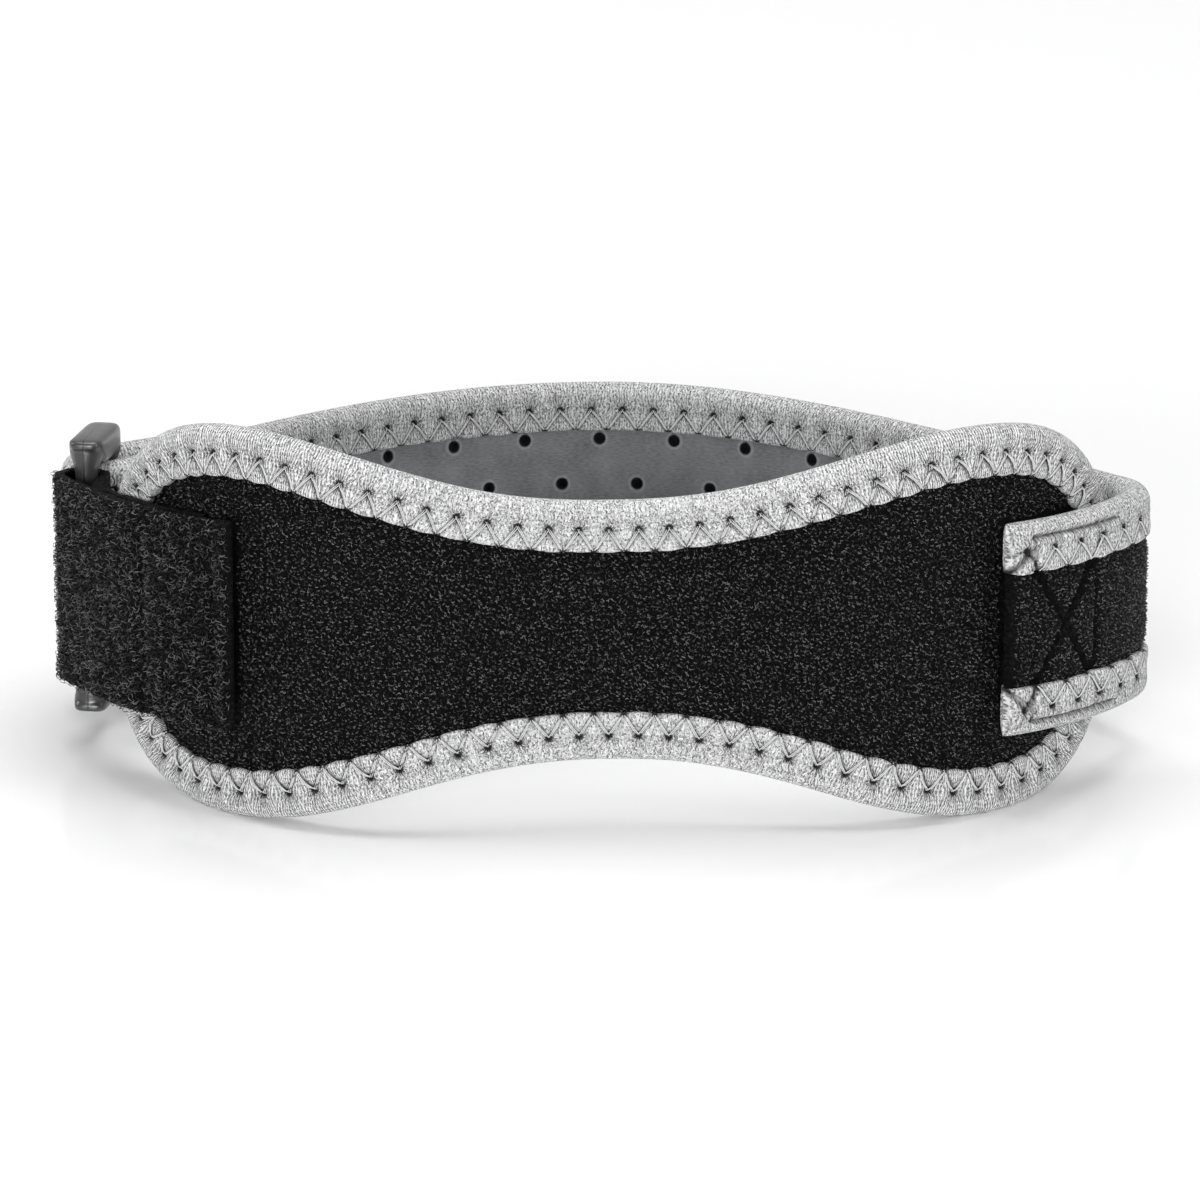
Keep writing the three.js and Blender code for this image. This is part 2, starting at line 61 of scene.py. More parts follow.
# How the level loop stands on the table
LEAN = 0.168959
PLACE = np.array([1.874, -50.956, 36.017])
FLOOR_GAP = 0.00002  # metres: cloth pressed flat on the table stays clear of it

# Pad
PAD_HALF_LENGTH = 100.9
PAD_SHIFT = 0.2
PAD_WAIST = 47.4
PAD_HEIGHT = 71.6
LOBE_PLACE = 0.665
WAIST_SHARPNESS = 1.19
END_SQUARENESS = 2.3
PAD_BENDS = [
    (-1, -59), (-0.64, -29), (-0.36, 1), (-0.12, 6), (0.16, -1), (0.4, 0), (0.7, 31), (1, 64),
]
PAD_SLOT = 1.65
PAD_EDGE = 2.65
PAD_PROUD = 2.95

# Edge bindings
BINDING_WIDTH = 9.0
STITCH_PITCH = 5.2
STRAP_PITCH = 6.2
STITCH_IN = 4.9
THREAD_RADIUS = 0.11

# Strap
LOOP_DEPTH = 107.7
TURN_RADIUS = 9
TURN_ANGLE = math.radians(66)
TURN_HANDLE = 0.32
BACK_HANDLE = 0.33
FOLD_HANDLE = 0.39
STRAP_RISE = 0.8
STRAP_DROP = 1.5
STRAP_WIDTH = 39
STRAP_HALF = 2.65
LAP_LENGTH = 32.2
TAIL_LENGTH = 32
TAIL_SETTLE = 26
HOLE_PITCH = 14.8
HOLE_SHIFT = -3.5
HOLE_RADIUS = 1.2
ROW_PITCH = 8.8
STRAP_OFFSET = PAD_PROUD + 0.3 + STRAP_HALF
FIRST_STITCH = 2.9

# Ring and tab
RING_BAR = 4.2
RING_BLOCK = 5.6
RING_BLOCK_WIDTH = 6.6
RING_SLOT = 40.2
RING_TURN = math.radians(41)
RING_REACH = 8.4
STRAP_ENTRY = math.radians(60)
TAB_WIDTH = 38
TAB_THICKNESS = 1.8
TAB_SLACK = 1.6
TAB_ROUND = 1.2
TAB_FRONT_LAP = 36.2
TAB_BACK_LAP = 30
TAB_WRAP = RING_BAR / 2 + 0.3 + (TAB_THICKNESS + TAB_SLACK) / 2
STRAP_WRAP = RING_BAR / 2 + 0.3 + STRAP_HALF
BAR_PITCH = TAB_WRAP + TAB_THICKNESS / 2 + 0.4 + STRAP_HALF + STRAP_WRAP
BACK_LEAF = PAD_PROUD + 0.3 + TAB_THICKNESS / 2
FRONT_LEAF = BACK_LEAF + 0.3 + TAB_THICKNESS

# Covers: how far out they meet their bindings, how far in from the rim, and their swell
COVER_EDGE = 1.35
COVER_INSET = BINDING_WIDTH - 1.6
FACE_DOME = 1.4
FOAM_DOME = 3.0

# Terry loops
LOOP_PITCH = (0.72, 0.62)
LOOP_JITTER = 0.34
LOOP_SIZE = 0.54
LOOP_RADIUS = 0.1
LOOP_CURL = 1.3
LOOP_LEAN = 0.9

NOISE_CELLS = 64


# Numbers

def to_world(points):
    """Points of the level loop, in millimetres, as metres on the table."""
    x, y, z = points[..., 0], points[..., 1], points[..., 2]
    cos, sin = math.cos(LEAN), math.sin(LEAN)
    return (np.stack([x, y * cos + z * sin, z * cos - y * sin], -1) + PLACE) * 0.001


def rise(value, low, high):
    """0 below low, 1 above high, smooth between."""
    share = np.clip((value - low) / (high - low), 0, 1)
    return share * share * (3 - 2 * share)


def summed(steps):
    return np.concatenate([[0], np.cumsum(steps)])


def grid(a, b):
    return np.meshgrid(a, b, indexing="ij")


def bell(distance, width):
    return np.exp(-((distance / width) ** 2))


def rounded(s, reach):
    """Share of a thickness left at s from an edge that is rounded over reach."""
    past = np.clip((reach - s) / reach, 0, 1)
    return np.sqrt(np.maximum(0, 1 - past ** 2))


def noise(u, v, seed):
    """A smooth random field from -1 to 1 that changes over one unit of u and v."""
    table = np.random.default_rng(seed).uniform(-1, 1, (NOISE_CELLS, NOISE_CELLS))
    iu, iv = np.floor(u).astype(int), np.floor(v).astype(int)
    fu, fv = rise(u - iu, 0, 1), rise(v - iv, 0, 1)
    a, b = iu % NOISE_CELLS, (iu + 1) % NOISE_CELLS
    c, d = iv % NOISE_CELLS, (iv + 1) % NOISE_CELLS
    near = table[a, c] * (1 - fu) + table[b, c] * fu
    far = table[a, d] * (1 - fu) + table[b, d] * fu
    return near * (1 - fv) + far * fv


def to_segment(x, y, a, b):
    """Distance from (x, y) to the segment from a to b."""
    ax, ay = a
    dx, dy = b[0] - ax, b[1] - ay
    t = np.clip(((x - ax) * dx + (y - ay) * dy) / (dx * dx + dy * dy), 0, 1)
    return np.hypot(x - ax - t * dx, y - ay - t * dy)


class Line:
    """A line seen from above, known by its length s; its right-hand side faces outwards."""

    def __init__(self, x, y, start=0.0):
        step = np.hypot(np.diff(x), np.diff(y))
        keep = np.concatenate([[True], step > 1e-6])
        self.x, self.y = x[keep], y[keep]
        step = np.hypot(np.diff(self.x), np.diff(self.y))
        self.s = start + summed(step)
        heading = np.arctan2(np.gradient(self.y, self.s), np.gradient(self.x, self.s))
        self.heading = np.unwrap(heading)

    def length(self):
        return self.s[-1] - self.s[0]

    def place(self, s, outward=0.0):
        heading = np.interp(s, self.s, self.heading)
        x = np.interp(s, self.s, self.x) + outward * np.sin(heading)
        y = np.interp(s, self.s, self.y) - outward * np.cos(heading)
        return x, y

    def turn(self, s):
        return np.interp(s, self.s, self.heading)


def arc(centre, radius, start, turn):
    """Plan points round a centre, heading from start and turning by turn."""
    angle = start + turn * np.linspace(0, 1, 120)
    out = math.copysign(radius, turn)
    return centre[0] + out * np.sin(angle), centre[1] - out * np.cos(angle)


def sweep(a, a_heading, b, b_heading, start, end):
    """Plan points of a smooth curve from a to b."""
    chord = math.hypot(b[0] - a[0], b[1] - a[1])
    p = [np.array(a), None, None, np.array(b)]
    p[1] = p[0] + start * chord * np.array([math.cos(a_heading), math.sin(a_heading)])
    p[2] = p[3] - end * chord * np.array([math.cos(b_heading), math.sin(b_heading)])
    t = np.linspace(0, 1, 400)[:, None]
    curve = (1 - t) ** 3 * p[0] + 3 * (1 - t) ** 2 * t * p[1]
    curve = curve + 3 * (1 - t) * t ** 2 * p[2] + t ** 3 * p[3]
    return curve[:, 0], curve[:, 1]


def joined(parts, window):
    """One line through several in turn, its heading evened out over some points."""
    first, *rest = parts
    line = Line(*(np.concatenate([first[i], *(part[i][1:] for part in rest)]) for i in (0, 1)))
    padded = np.pad(line.heading, window // 2, mode="edge")
    line.heading = np.convolve(padded, np.ones(window) / window, "valid")
    return line


# The pad's and the strap's lines

def pad_plan():
    step = 0.1
    half = np.arange(step / 2, 160, step)
    shares, headings = zip(*PAD_BENDS)
    lines = []
    for side in (-1, 1):
        share = (side * half - PAD_SHIFT) / PAD_HALF_LENGTH
        heading = np.radians(np.interp(share, shares, headings))
        x = summed(side * step * np.cos(heading))
        y = summed(side * step * np.sin(heading))
        lines.append((x, y))
    (lx, ly), (rx, ry) = lines
    x = np.concatenate([lx[::-1], rx[1:]])
    y = np.concatenate([ly[::-1], ry[1:]])
    return Line(x, y, -(len(lx) - 1) * step)


PAD = pad_plan()
PAD_LEFT = PAD_SHIFT - PAD_HALF_LENGTH
PAD_RIGHT = PAD_SHIFT + PAD_HALF_LENGTH


def pad_half_height(u):
    share = np.minimum(1, np.abs(u - PAD_SHIFT) / PAD_HALF_LENGTH)
    waist, lobe = PAD_WAIST / 2, PAD_HEIGHT / 2
    up = (np.minimum(share, LOBE_PLACE) / LOBE_PLACE) ** WAIST_SHARPNESS
    inner = waist + (lobe - waist) * (1 - np.cos(np.pi * up)) / 2
    past = np.clip((share - LOBE_PLACE) / (1 - LOBE_PLACE), 0, 1)
    outer = lobe * np.maximum(0, 1 - past ** END_SQUARENESS) ** (1 / END_SQUARENESS)
    return np.where(share <= LOBE_PLACE, inner, outer)


def pad_outline():
    """(u, z) round the pad from its right end, with the length so far."""
    angle = np.linspace(0, 2 * np.pi, 8001)
    u = PAD_SHIFT + PAD_HALF_LENGTH * np.cos(angle)
    z = np.sign(np.sin(angle)) * pad_half_height(u)
    z[0] = z[-1] = 0
    length = summed(np.hypot(np.diff(u), np.diff(z)))
    return u, z, length


NEAR_BAR = np.array(PAD.place(PAD_LEFT - RING_REACH, FRONT_LEAF - TAB_WRAP - TAB_SLACK / 2))
TAB_FOLD = np.array(PAD.place(PAD_LEFT - RING_REACH, FRONT_LEAF - TAB_WRAP))
RING_HEADING = PAD.turn(PAD_LEFT) + math.pi - RING_TURN
RING_AXIS = np.array([math.cos(RING_HEADING), math.sin(RING_HEADING)])
FAR_BAR = NEAR_BAR + RING_AXIS * BAR_PITCH


def strap_plan():
    """The strap's line from its sewn end to its tail, and the lengths where its parts begin."""
    lap_u = np.linspace(PAD_RIGHT - LAP_LENGTH, PAD_RIGHT, 300)
    lap = PAD.place(lap_u, STRAP_OFFSET)
    leaving = PAD.turn(PAD_RIGHT)
    centre = PAD.place(PAD_RIGHT, STRAP_OFFSET - TURN_RADIUS)
    turn = arc(centre, TURN_RADIUS, leaving, TURN_ANGLE)
    entry = RING_HEADING + math.pi / 2 + STRAP_ENTRY
    fold = arc(FAR_BAR, STRAP_WRAP, entry, -math.pi)
    back = (0.0, LOOP_DEPTH)
    after = (turn[0][-1], turn[1][-1])
    before = (fold[0][0], fold[1][0])
    right = sweep(after, leaving + TURN_ANGLE, back, math.pi, TURN_HANDLE, BACK_HANDLE)
    left = sweep(back, math.pi, before, entry, BACK_HANDLE, FOLD_HANDLE)
    run = Line(*(np.concatenate([turn[i], right[i][1:], left[i][1:]]) for i in (0, 1)))
    closed = 2 * STRAP_HALF + 0.3
    length = np.linspace(0, TAIL_LENGTH, 200)
    opening = (2 * STRAP_WRAP - closed) * (1 - rise(length, 0, TAIL_SETTLE))
    tail = run.place(run.s[-1] - length, closed + opening)
    marks = {"lap": Line(*lap).length(), "run": run.length(), "fold": math.pi * STRAP_WRAP}
    return joined([lap, (run.x, run.y), fold, tail], 15), marks


STRAP, MARKS = strap_plan()
STRAP_END = STRAP.s[-1]
FOLD_START = MARKS["lap"] + MARKS["run"]
LAP_X = STRAP.x[0]


def on_pad(u, z, outward):
    x, y = PAD.place(u, outward)
    return np.stack([x, y, z + 0 * x], -1)


def on_strap(s, z, outward):
    x, y = STRAP.place(s, outward)
    share = rise(x, 0, LAP_X)
    return np.stack([x, y, z + STRAP_RISE - STRAP_DROP * share], -1)


# Meshes

def new_object(name, data):
    made = bpy.data.objects.new(name, data)
    bpy.context.scene.collection.objects.link(made)
    return made


def make_object(name, vertices, faces, uv=None, fields=None):
    mesh = bpy.data.meshes.new(name)
    if isinstance(faces, list):
        counts = np.array([len(face) for face in faces])
        loops = np.concatenate(faces)
    else:
        counts = np.full(len(faces), faces.shape[1])
        loops = faces.ravel()
    mesh.vertices.add(len(vertices))
    place = to_world(vertices)
    place[:, 2] = np.maximum(place[:, 2], FLOOR_GAP)
    mesh.vertices.foreach_set("co", place.astype(np.float32).ravel())
    mesh.loops.add(len(loops))
    mesh.loops.foreach_set("vertex_index", loops.astype(np.int32))
    mesh.polygons.add(len(counts))
    starts = np.concatenate([[0], np.cumsum(counts)[:-1]])
    mesh.polygons.foreach_set("loop_start", starts.astype(np.int32))
    mesh.polygons.foreach_set("use_smooth", np.ones(len(counts), bool))
    if uv is not None:
        layer = mesh.uv_layers.new(name="cloth")
        layer.data.foreach_set("uv", uv.astype(np.float32).ravel())
    for field, values in (fields or {}).items():
        attribute = mesh.attributes.new(field, "FLOAT", "POINT")
        attribute.data.foreach_set("value", values.astype(np.float32).ravel())
    mesh.update(calc_edges=True)
    mesh.validate()
    return new_object(name, mesh)


def grid_object(name, points, s, q, around_s=None, around_q=None, fields=None):
    """Cloth through a grid of points. around_s and around_q close it at those lengths."""
    rows, columns = points.shape[:2]
    s = np.concatenate([s, [around_s]]) if around_s is not None else s
    q = np.concatenate([q, [around_q]]) if around_q is not None else q
    i = np.arange(len(s) - 1)[:, None]
    j = np.arange(len(q) - 1)[None, :]
    i2, j2 = (i + 1) % rows, (j + 1) % columns
    corner = [i * columns + j, i2 * columns + j, i2 * columns + j2, i * columns + j2]
    faces = np.stack([c + 0 * (i + j) for c in corner], -1).reshape(-1, 4)
    us = [s[i], s[i + 1], s[i + 1], s[i]]
    vs = [q[j], q[j], q[j + 1], q[j + 1]]
    uv = np.stack([np.stack([a + 0 * j, b + 0 * i], -1) for a, b in zip(us, vs)], 2)
    return make_object(name, points.reshape(-1, 3), faces, uv.reshape(-1, 2), fields)


def tubes(name, lines, radius, sides, fields=None):
    """Many thin tubes of one length in points, as one mesh. lines is tubes by points by 3."""
    count, steps = lines.shape[:2]
    tangent = np.gradient(lines, axis=1)
    tangent /= np.linalg.norm(tangent, axis=2, keepdims=True) + 1e-9
    helper = np.where(np.abs(tangent[..., 2:3]) < 0.9, [[[0, 0, 1.0]]], [[[1.0, 0, 0]]])
    across = np.cross(tangent, helper)
    across /= np.linalg.norm(across, axis=2, keepdims=True) + 1e-9
    over = np.cross(tangent, across)
    angle = 2 * np.pi * np.arange(sides) / sides
    ring = across[:, :, None] * np.cos(angle)[:, None] + over[:, :, None] * np.sin(angle)[:, None]
    vertices = lines[:, :, None] + ring * radius
    n, i, j = np.meshgrid(np.arange(count), np.arange(steps - 1), np.arange(sides), indexing="ij")
    k = (j + 1) % sides

    def at(row, column):
        return (n * steps + row) * sides + column

    faces = np.stack([at(i, j), at(i, k), at(i + 1, k), at(i + 1, j)], -1).reshape(-1, 4)
    return make_object(name, vertices.reshape(-1, 3), faces, fields=fields)


# Materials

def tinted(colour, factor):
    return tuple(min(1, c * factor) for c in colour)


def material(name, colour, roughness, specular, **sockets):
    made = bpy.data.materials.new(name)
    made.use_nodes = True
    shader = made.node_tree.nodes["Principled BSDF"]
    shader.inputs["Base Color"].default_value = (*colour, 1)
    shader.inputs["Roughness"].default_value = roughness
    shader.inputs["Specular IOR Level"].default_value = specular
    for socket, value in sockets.items():
        shader.inputs[socket.replace("_", " ")].default_value = value
    return made, Nodes(made.node_tree, shader)


class Nodes:
    """Short hands for a material's nodes."""

    def __init__(self, tree, shader):
        self.tree, self.shader = tree, shader

    def into(self, socket, value):
        self.tree.links.new(value, self.shader.inputs[socket])

    def add(self, kind, inputs=None, **settings):
        node = self.tree.nodes.new(kind)
        for key, value in settings.items():
            setattr(node, key, value)
        for key, value in (inputs or {}).items():
            socket = node.inputs[key]
            if kind == "ShaderNodeMix":
                socket = next(i for i in node.inputs if i.name == key and i.enabled)
            if isinstance(value, bpy.types.NodeSocket):
                self.tree.links.new(value, socket)
            else:
                socket.default_value = value
        return node

    def math(self, operation, a, b=0.0, c=0.0):
        return self.add("ShaderNodeMath", {0: a, 1: b, 2: c}, operation=operation).outputs[0]

    def times(self, a, b):
        return self.math("MULTIPLY", a, b)

    def times_plus(self, a, b, c):
        return self.math("MULTIPLY_ADD", a, b, c)

    def plus(self, a, b):
        return self.math("ADD", a, b)

    def minus(self, a, b):
        return self.math("SUBTRACT", a, b)

    def squares(self, a, b):
        return self.plus(self.times(a, a), self.times(b, b))

    def fading(self, value, rate):
        """1 where value is 0, and the faster down to 0 the higher the rate."""
        return self.math("EXPONENT", self.times(value, -rate))

    def ranged(self, value, low=0.0, high=1.0, to_low=0.0, to_high=1.0):
        inputs = {"Value": value, "From Min": low, "From Max": high,
                  "To Min": to_low, "To Max": to_high}
        return self.add("ShaderNodeMapRange", inputs).outputs[0]

    def noise(self, at, scale, detail, distortion=0.0):
        """Outputs of a noise texture: its value and its colour."""
        inputs = {"Vector": at, "Scale": scale, "Detail": detail, "Distortion": distortion}
        return self.add("ShaderNodeTexNoise", inputs).outputs

    def vectors(self, operation, a, b):
        return self.add("ShaderNodeVectorMath", {0: a, 1: b}, operation=operation).outputs

    def mix(self, factor, a, b, **settings):
        inputs = {"Factor": factor, "A": a, "B": b}
        return self.add("ShaderNodeMix", inputs, data_type="RGBA", **settings).outputs["Result"]

    def place(self):
        return self.add("ShaderNodeTexCoord").outputs["Object"]

    def cloth(self):
        """Millimetres along and across the cloth, each alone and both as a vector."""
        place = self.add("ShaderNodeUVMap", uv_map="cloth").outputs[0]
        split = self.add("ShaderNodeSeparateXYZ", {0: place})
        u, v = split.outputs[0], split.outputs[1]
        return u, v, self.add("ShaderNodeCombineXYZ", {0: u, 1: v}).outputs[0]

    def field(self, name):
        return self.add("ShaderNodeAttribute", attribute_name=name).outputs["Fac"]

    def ramp(self, value, stops):
        node = self.add("ShaderNodeValToRGB", {0: value})
        elements = node.color_ramp.elements
        while len(elements) < len(stops):
            elements.new(0.5)
        for element, (place, colour) in zip(elements, stops):
            element.position = place
            element.color = (*colour, 1)
        return node.outputs[0]

    def bump(self, layers):
        """layers are (height, distance in metres, strength), the coarsest first."""
        normal = None
        for height, distance, strength in layers:
            inputs = {"Height": height, "Distance": distance, "Strength": strength}
            if normal is not None:
                inputs["Normal"] = normal
            normal = self.add("ShaderNodeBump", inputs).outputs[0]
        self.into("Normal", normal)


def knit_material(name, colour, wale=0.8, pitch=None):
    """Fine-ribbed stretch knit: wales run across the cloth's length, wandering a little. On a
    bound edge with stitches at this pitch they draw together at each, where the cloth is pinched."""
    made, n = material(name, colour, 0.8, 0.25, Sheen_Weight=0.12, Sheen_Roughness=0.5)
    u, v, here = n.cloth()
    wander = n.noise(here, 0.42, 2.0)[0]
    curl = n.noise(here, 1.3, 1.0)[0]
    fuzz = n.noise(here, 2.6, 4.0)[0]
    shift = n.times_plus(wander, 10.0, n.times(curl, 16.0))
    along = u
    if pitch:
        pull = n.field("pull")
        shift = n.times(shift, n.minus(1.25, pull))
        count = n.math("DIVIDE", n.minus(u, n.field("first")), pitch)
        number = n.math("ROUND", count)
        ds = n.times(n.minus(count, number), pitch)
        dq = n.minus(n.field("inward"), STITCH_IN)
        square = n.squares(ds, dq)
        r = n.math("SQRT", square)
        drawn = n.math("DIVIDE", n.times(pull, 3.0), n.plus(r, 0.4))
        along = n.times_plus(ds, drawn, u)
    rib = n.math("SINE", n.times_plus(along, 2 * math.pi / wale, shift))
    twist = n.times_plus(rib, 1.5, n.times(wander, 12.0))
    course = n.math("SINE", n.times_plus(v, 2 * math.pi / (wale * 1.05), twist))
    stitch = n.times_plus(course, 0.2, n.times(rib, 0.7))
    drawn_out = n.vectors("MULTIPLY", here, (1.35, 0.62, 1))[0]
    level = n.minus(n.noise(drawn_out, 1.0, 1.0, 0.7)[0], 0.5)
    # Thin wandering creases: sunk in the bump, and darkened in the colour by painted shade.
    crease = n.fading(n.times(level, level), 420.0)
    order, grain, base, crease_shade = 0.3, 0.9, 0.12, -0.24
    if pitch:
        order = n.times_plus(pull, 0.45, 0.2)
        grain = n.times_plus(pull, -0.45, 0.99)
        base = n.times_plus(pull, 0.2, 0.085)
        crease_shade = n.times_plus(pull, 0.2, -0.28)
    tone = n.times_plus(stitch, order, n.times_plus(fuzz, grain, base))
    # Painted shade along the creases.
    tone = n.times_plus(crease, crease_shade, tone)
    deep = tinted(colour, 0.38)
    pale = tinted(colour, 1.3)
    shade = n.ramp(tone, [(0.1, deep), (0.46, colour), (0.85, pale)])
    sunk = n.times(crease, -1.0)
    layers = [(stitch, 0.00032, 0.8), (sunk, 0.0002, 0.7), (fuzz, 0.0002, 0.5)]
    if pitch:
        edge = BINDING_WIDTH - STITCH_IN
        reach = math.hypot(edge, pitch / 2)
        beside = n.math("ABSOLUTE", ds)
        off = n.times(beside, edge / reach)
        leg = n.minus(off, n.times(dq, pitch / 2 / reach))
        below = n.ranged(dq, 0.0, 0.5)
        # Painted shade along both sides of each thread leg.
        line = n.times(n.times(n.fading(n.times(leg, leg), 5.0), below), 0.72)
        # Painted shade in each stitch hole.
        stitch_hole_shade = n.ranged(r, 0.85, 0.45)
        # Painted shade where two legs meet at the inner edge and dive in.
        sx = n.minus(beside, pitch / 2)
        sy = n.minus(dq, edge)
        leg_end_shade = n.times(n.fading(n.squares(sx, sy), 2.6), 0.7)
        # Fan folds round each hole: a relief in the bump, and painted light and shade in the colour.
        angle = n.math("ARCTAN2", ds, n.times(dq, -1.0))
        turned = n.times_plus(number, 2.4, n.times(fuzz, 5.0))
        spokes = n.math("SINE", n.times_plus(angle, 11.0, turned))
        near = n.fading(r, 0.5)
        outer = n.ranged(dq, 0.6, -0.4)
        gathers = n.times(n.times(spokes, near), outer)
        # Painted shade round each pinched hole.
        pinch_shade = n.times(n.fading(square, 0.5), 0.34)
        shadow = n.times_plus(gathers, -0.4, n.plus(line, stitch_hole_shade))
        # The dark field is painted shade laid in by the mesh, in stitched grooves and folds.
        shadow = n.plus(n.plus(shadow, pinch_shade), n.plus(leg_end_shade, n.field("dark")))
        # All of these are painted shade multiplied into the knit's colour; the fan folds also add
        # painted light.
        light = n.ranged(shadow, to_low=1.0, to_high=0.03)
        grey = n.add("ShaderNodeCombineColor", {0: light, 1: light, 2: light}).outputs[0]
        shade = n.mix(1.0, shade, grey, blend_type="MULTIPLY", clamp_result=True)
        layers.insert(0, (gathers, 0.0004, 0.8))
    n.into("Base Color", shade)
    n.bump(layers)
    return made


BLACK = (0.0035, 0.0035, 0.0038)


def pile_material(name, size, mapped=True):
    """Black looped or brushed pile: small knobs with painted shade at their roots and painted glints on
    their tops, mixed with a random fibre tone.
    """
    made, n = material(name, BLACK, 0.55, 0.1)
    if mapped:
        here = n.cloth()[2]
    else:
        here = n.vectors("MULTIPLY", n.place(), (1000, 1000, 1000))[0]
    twist = n.noise(here, 1.3 / size, 2.0)[1]
    bent = n.vectors("ADD", here, twist)[0]
    knobs = n.add("ShaderNodeTexVoronoi", {"Vector": bent, "Scale": 1 / size}).outputs["Distance"]
    fibre = n.noise(here, 3.0 / size, 4.0)[0]
    # low is painted shade between the knobs and high is painted glints on their tops.
    low, high = tinted(BLACK, 0.15), tinted(BLACK, 4.5)
    tone = n.times_plus(knobs, -0.9, n.times(fibre, 1.6))
    shade = n.ramp(tone, [(0.2, low), (0.5, BLACK), (0.8, high)])
    n.into("Base Color", shade)
    height = n.times(knobs, -1.0)
    n.bump([(height, 0.0009 * size, 1.0), (fibre, 0.0008 * size, 1.0)])
    return made


def lining_material(name, colour):
    """Smooth warp knit with punched holes painted dark as painted shade, each with a pressed rim painted
    pale as a painted highlight.
    """
    made, n = material(name, colour, 0.8, 0.3, Sheen_Weight=0.1, Sheen_Roughness=0.5)
    here = n.cloth()[2]
    drawn = n.vectors("MULTIPLY", here, (0.9, 3.2, 1))[0]
    brushed = n.noise(drawn, 1.1, 3.0)[0]
    fuzz = n.noise(here, 3.2, 3.0)[0]
    cloud = n.noise(here, 0.16, 2.0)[0]
    tone = n.times_plus(brushed, 0.6, n.times(cloud, 0.4))
    deep = tinted(colour, 0.62)
    pale = tinted(colour, 1.35)
    cloth = n.ramp(tone, [(0.3, deep), (0.7, pale)])
    near = n.field("near")
    off = n.minus(near, HOLE_RADIUS + 0.35)
    # Painted highlight on the pressed rim round each hole.
    rim = n.times(n.fading(n.times(off, off), 22.0), 0.45)
    rimmed = n.mix(rim, cloth, (*tinted(colour, 2.0), 1))
    # Painted shade filling each punched hole.
    hole = n.ranged(near, HOLE_RADIUS + 0.06, HOLE_RADIUS - 0.1)
    n.into("Base Color", n.mix(hole, rimmed, (0.002, 0.002, 0.002, 1)))
    n.bump([(rim, 0.0003, 0.6), (brushed, 0.00022, 0.6), (fuzz, 0.00012, 0.5)])
    return made


def moulded_material(name, colour):
    """Satin moulded plastic with a fine grain and a parting line down the ring's middle plane."""
    made, n = material(name, colour, 0.36, 0.5, Coat_Weight=0.7, Coat_Roughness=0.24)
    place = n.place()
    grain = n.noise(place, 4200.0, 2.0)[0]
    cloud = n.noise(place, 220.0, 2.0)[0]
    rough = n.ranged(cloud, to_low=0.3, to_high=0.46)
    n.into("Roughness", rough)
    middle = np.array([*((NEAR_BAR + FAR_BAR) / 2), 0.0])
    at = to_world(middle)
    across = to_world(middle + [-RING_AXIS[1], RING_AXIS[0], 0]) - at
    across /= np.linalg.norm(across)
    dot = n.vectors("DOT_PRODUCT", place, tuple(across))["Value"]
    off = n.math("ABSOLUTE", n.minus(dot, float(at @ across)))
    line = n.ranged(off, 0.00016, 0.00004)
    shade = n.mix(line, (*colour, 1), (*tinted(colour, 0.3), 1))
    n.into("Base Color", shade)
    ridge = n.times(line, -1.0)
    n.bump([(ridge, 0.00012, 0.8), (grain, 0.00003, 0.35)])
    return made


def thread_material(name, colour):
    made, n = material(name, colour, 0.6, 0.5, Sheen_Weight=0.3)
    place = n.place()
    twist = n.noise(place, 5000.0, 1.0)[0]
    deep = tinted(colour, 0.7)
    n.into("Base Color", n.ramp(twist, [(0.3, deep), (0.7, colour)]))
    n.bump([(twist, 0.00004, 0.5)])
    return made


def yarn_material(name, dark, pale, glint, start):
    """Glossy black yarn with painted glints: a per-loop field, from dark to pale, says how much light
    each loop is painted as catching.
    """
    made, n = material(name, dark, 0.34, glint)
    shade = n.ramp(n.field("glint_share"), [(start, dark), (1.0, pale)])
    n.into("Base Color", shade)
    return made


KNIT = knit_material("pad_knit", (0.74, 0.742, 0.748), pitch=STITCH_PITCH)
# The strap's binding is the pad's knit made darker: painted shade, as it lies back inside the loop.
SHADED_STRAP_KNIT = knit_material("strap_knit", (0.68, 0.682, 0.688), pitch=STRAP_PITCH)
TERRY = pile_material("terry", 0.95)
PLUSH = pile_material("plush", 0.7)
PATCH = pile_material("patch", 0.7, mapped=False)
FOAM = knit_material("foam_cloth", (0.27, 0.28, 0.3), 0.7)
LINING = lining_material("lining", (0.22, 0.224, 0.23))
MOULDED = moulded_material("moulded", (0.036, 0.0365, 0.038))
THREAD = thread_material("thread", (0.80, 0.802, 0.808))
# The pale colours of the loops and fibres are painted glints.
LOOPS = yarn_material("loop_yarn", (0.012, 0.012, 0.0125), (0.15, 0.15, 0.155), 0.6, 0.4)
FIBRES = yarn_material("loop_fibre", (0.004, 0.004, 0.0045), (0.19, 0.19, 0.195), 0.35, 0.5)


def finish_piece(made, look, slot, *nodes):
    made.data.materials.append(look)
    if nodes:
        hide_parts(*nodes)
    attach(made, "root")
    return made


# Bindings

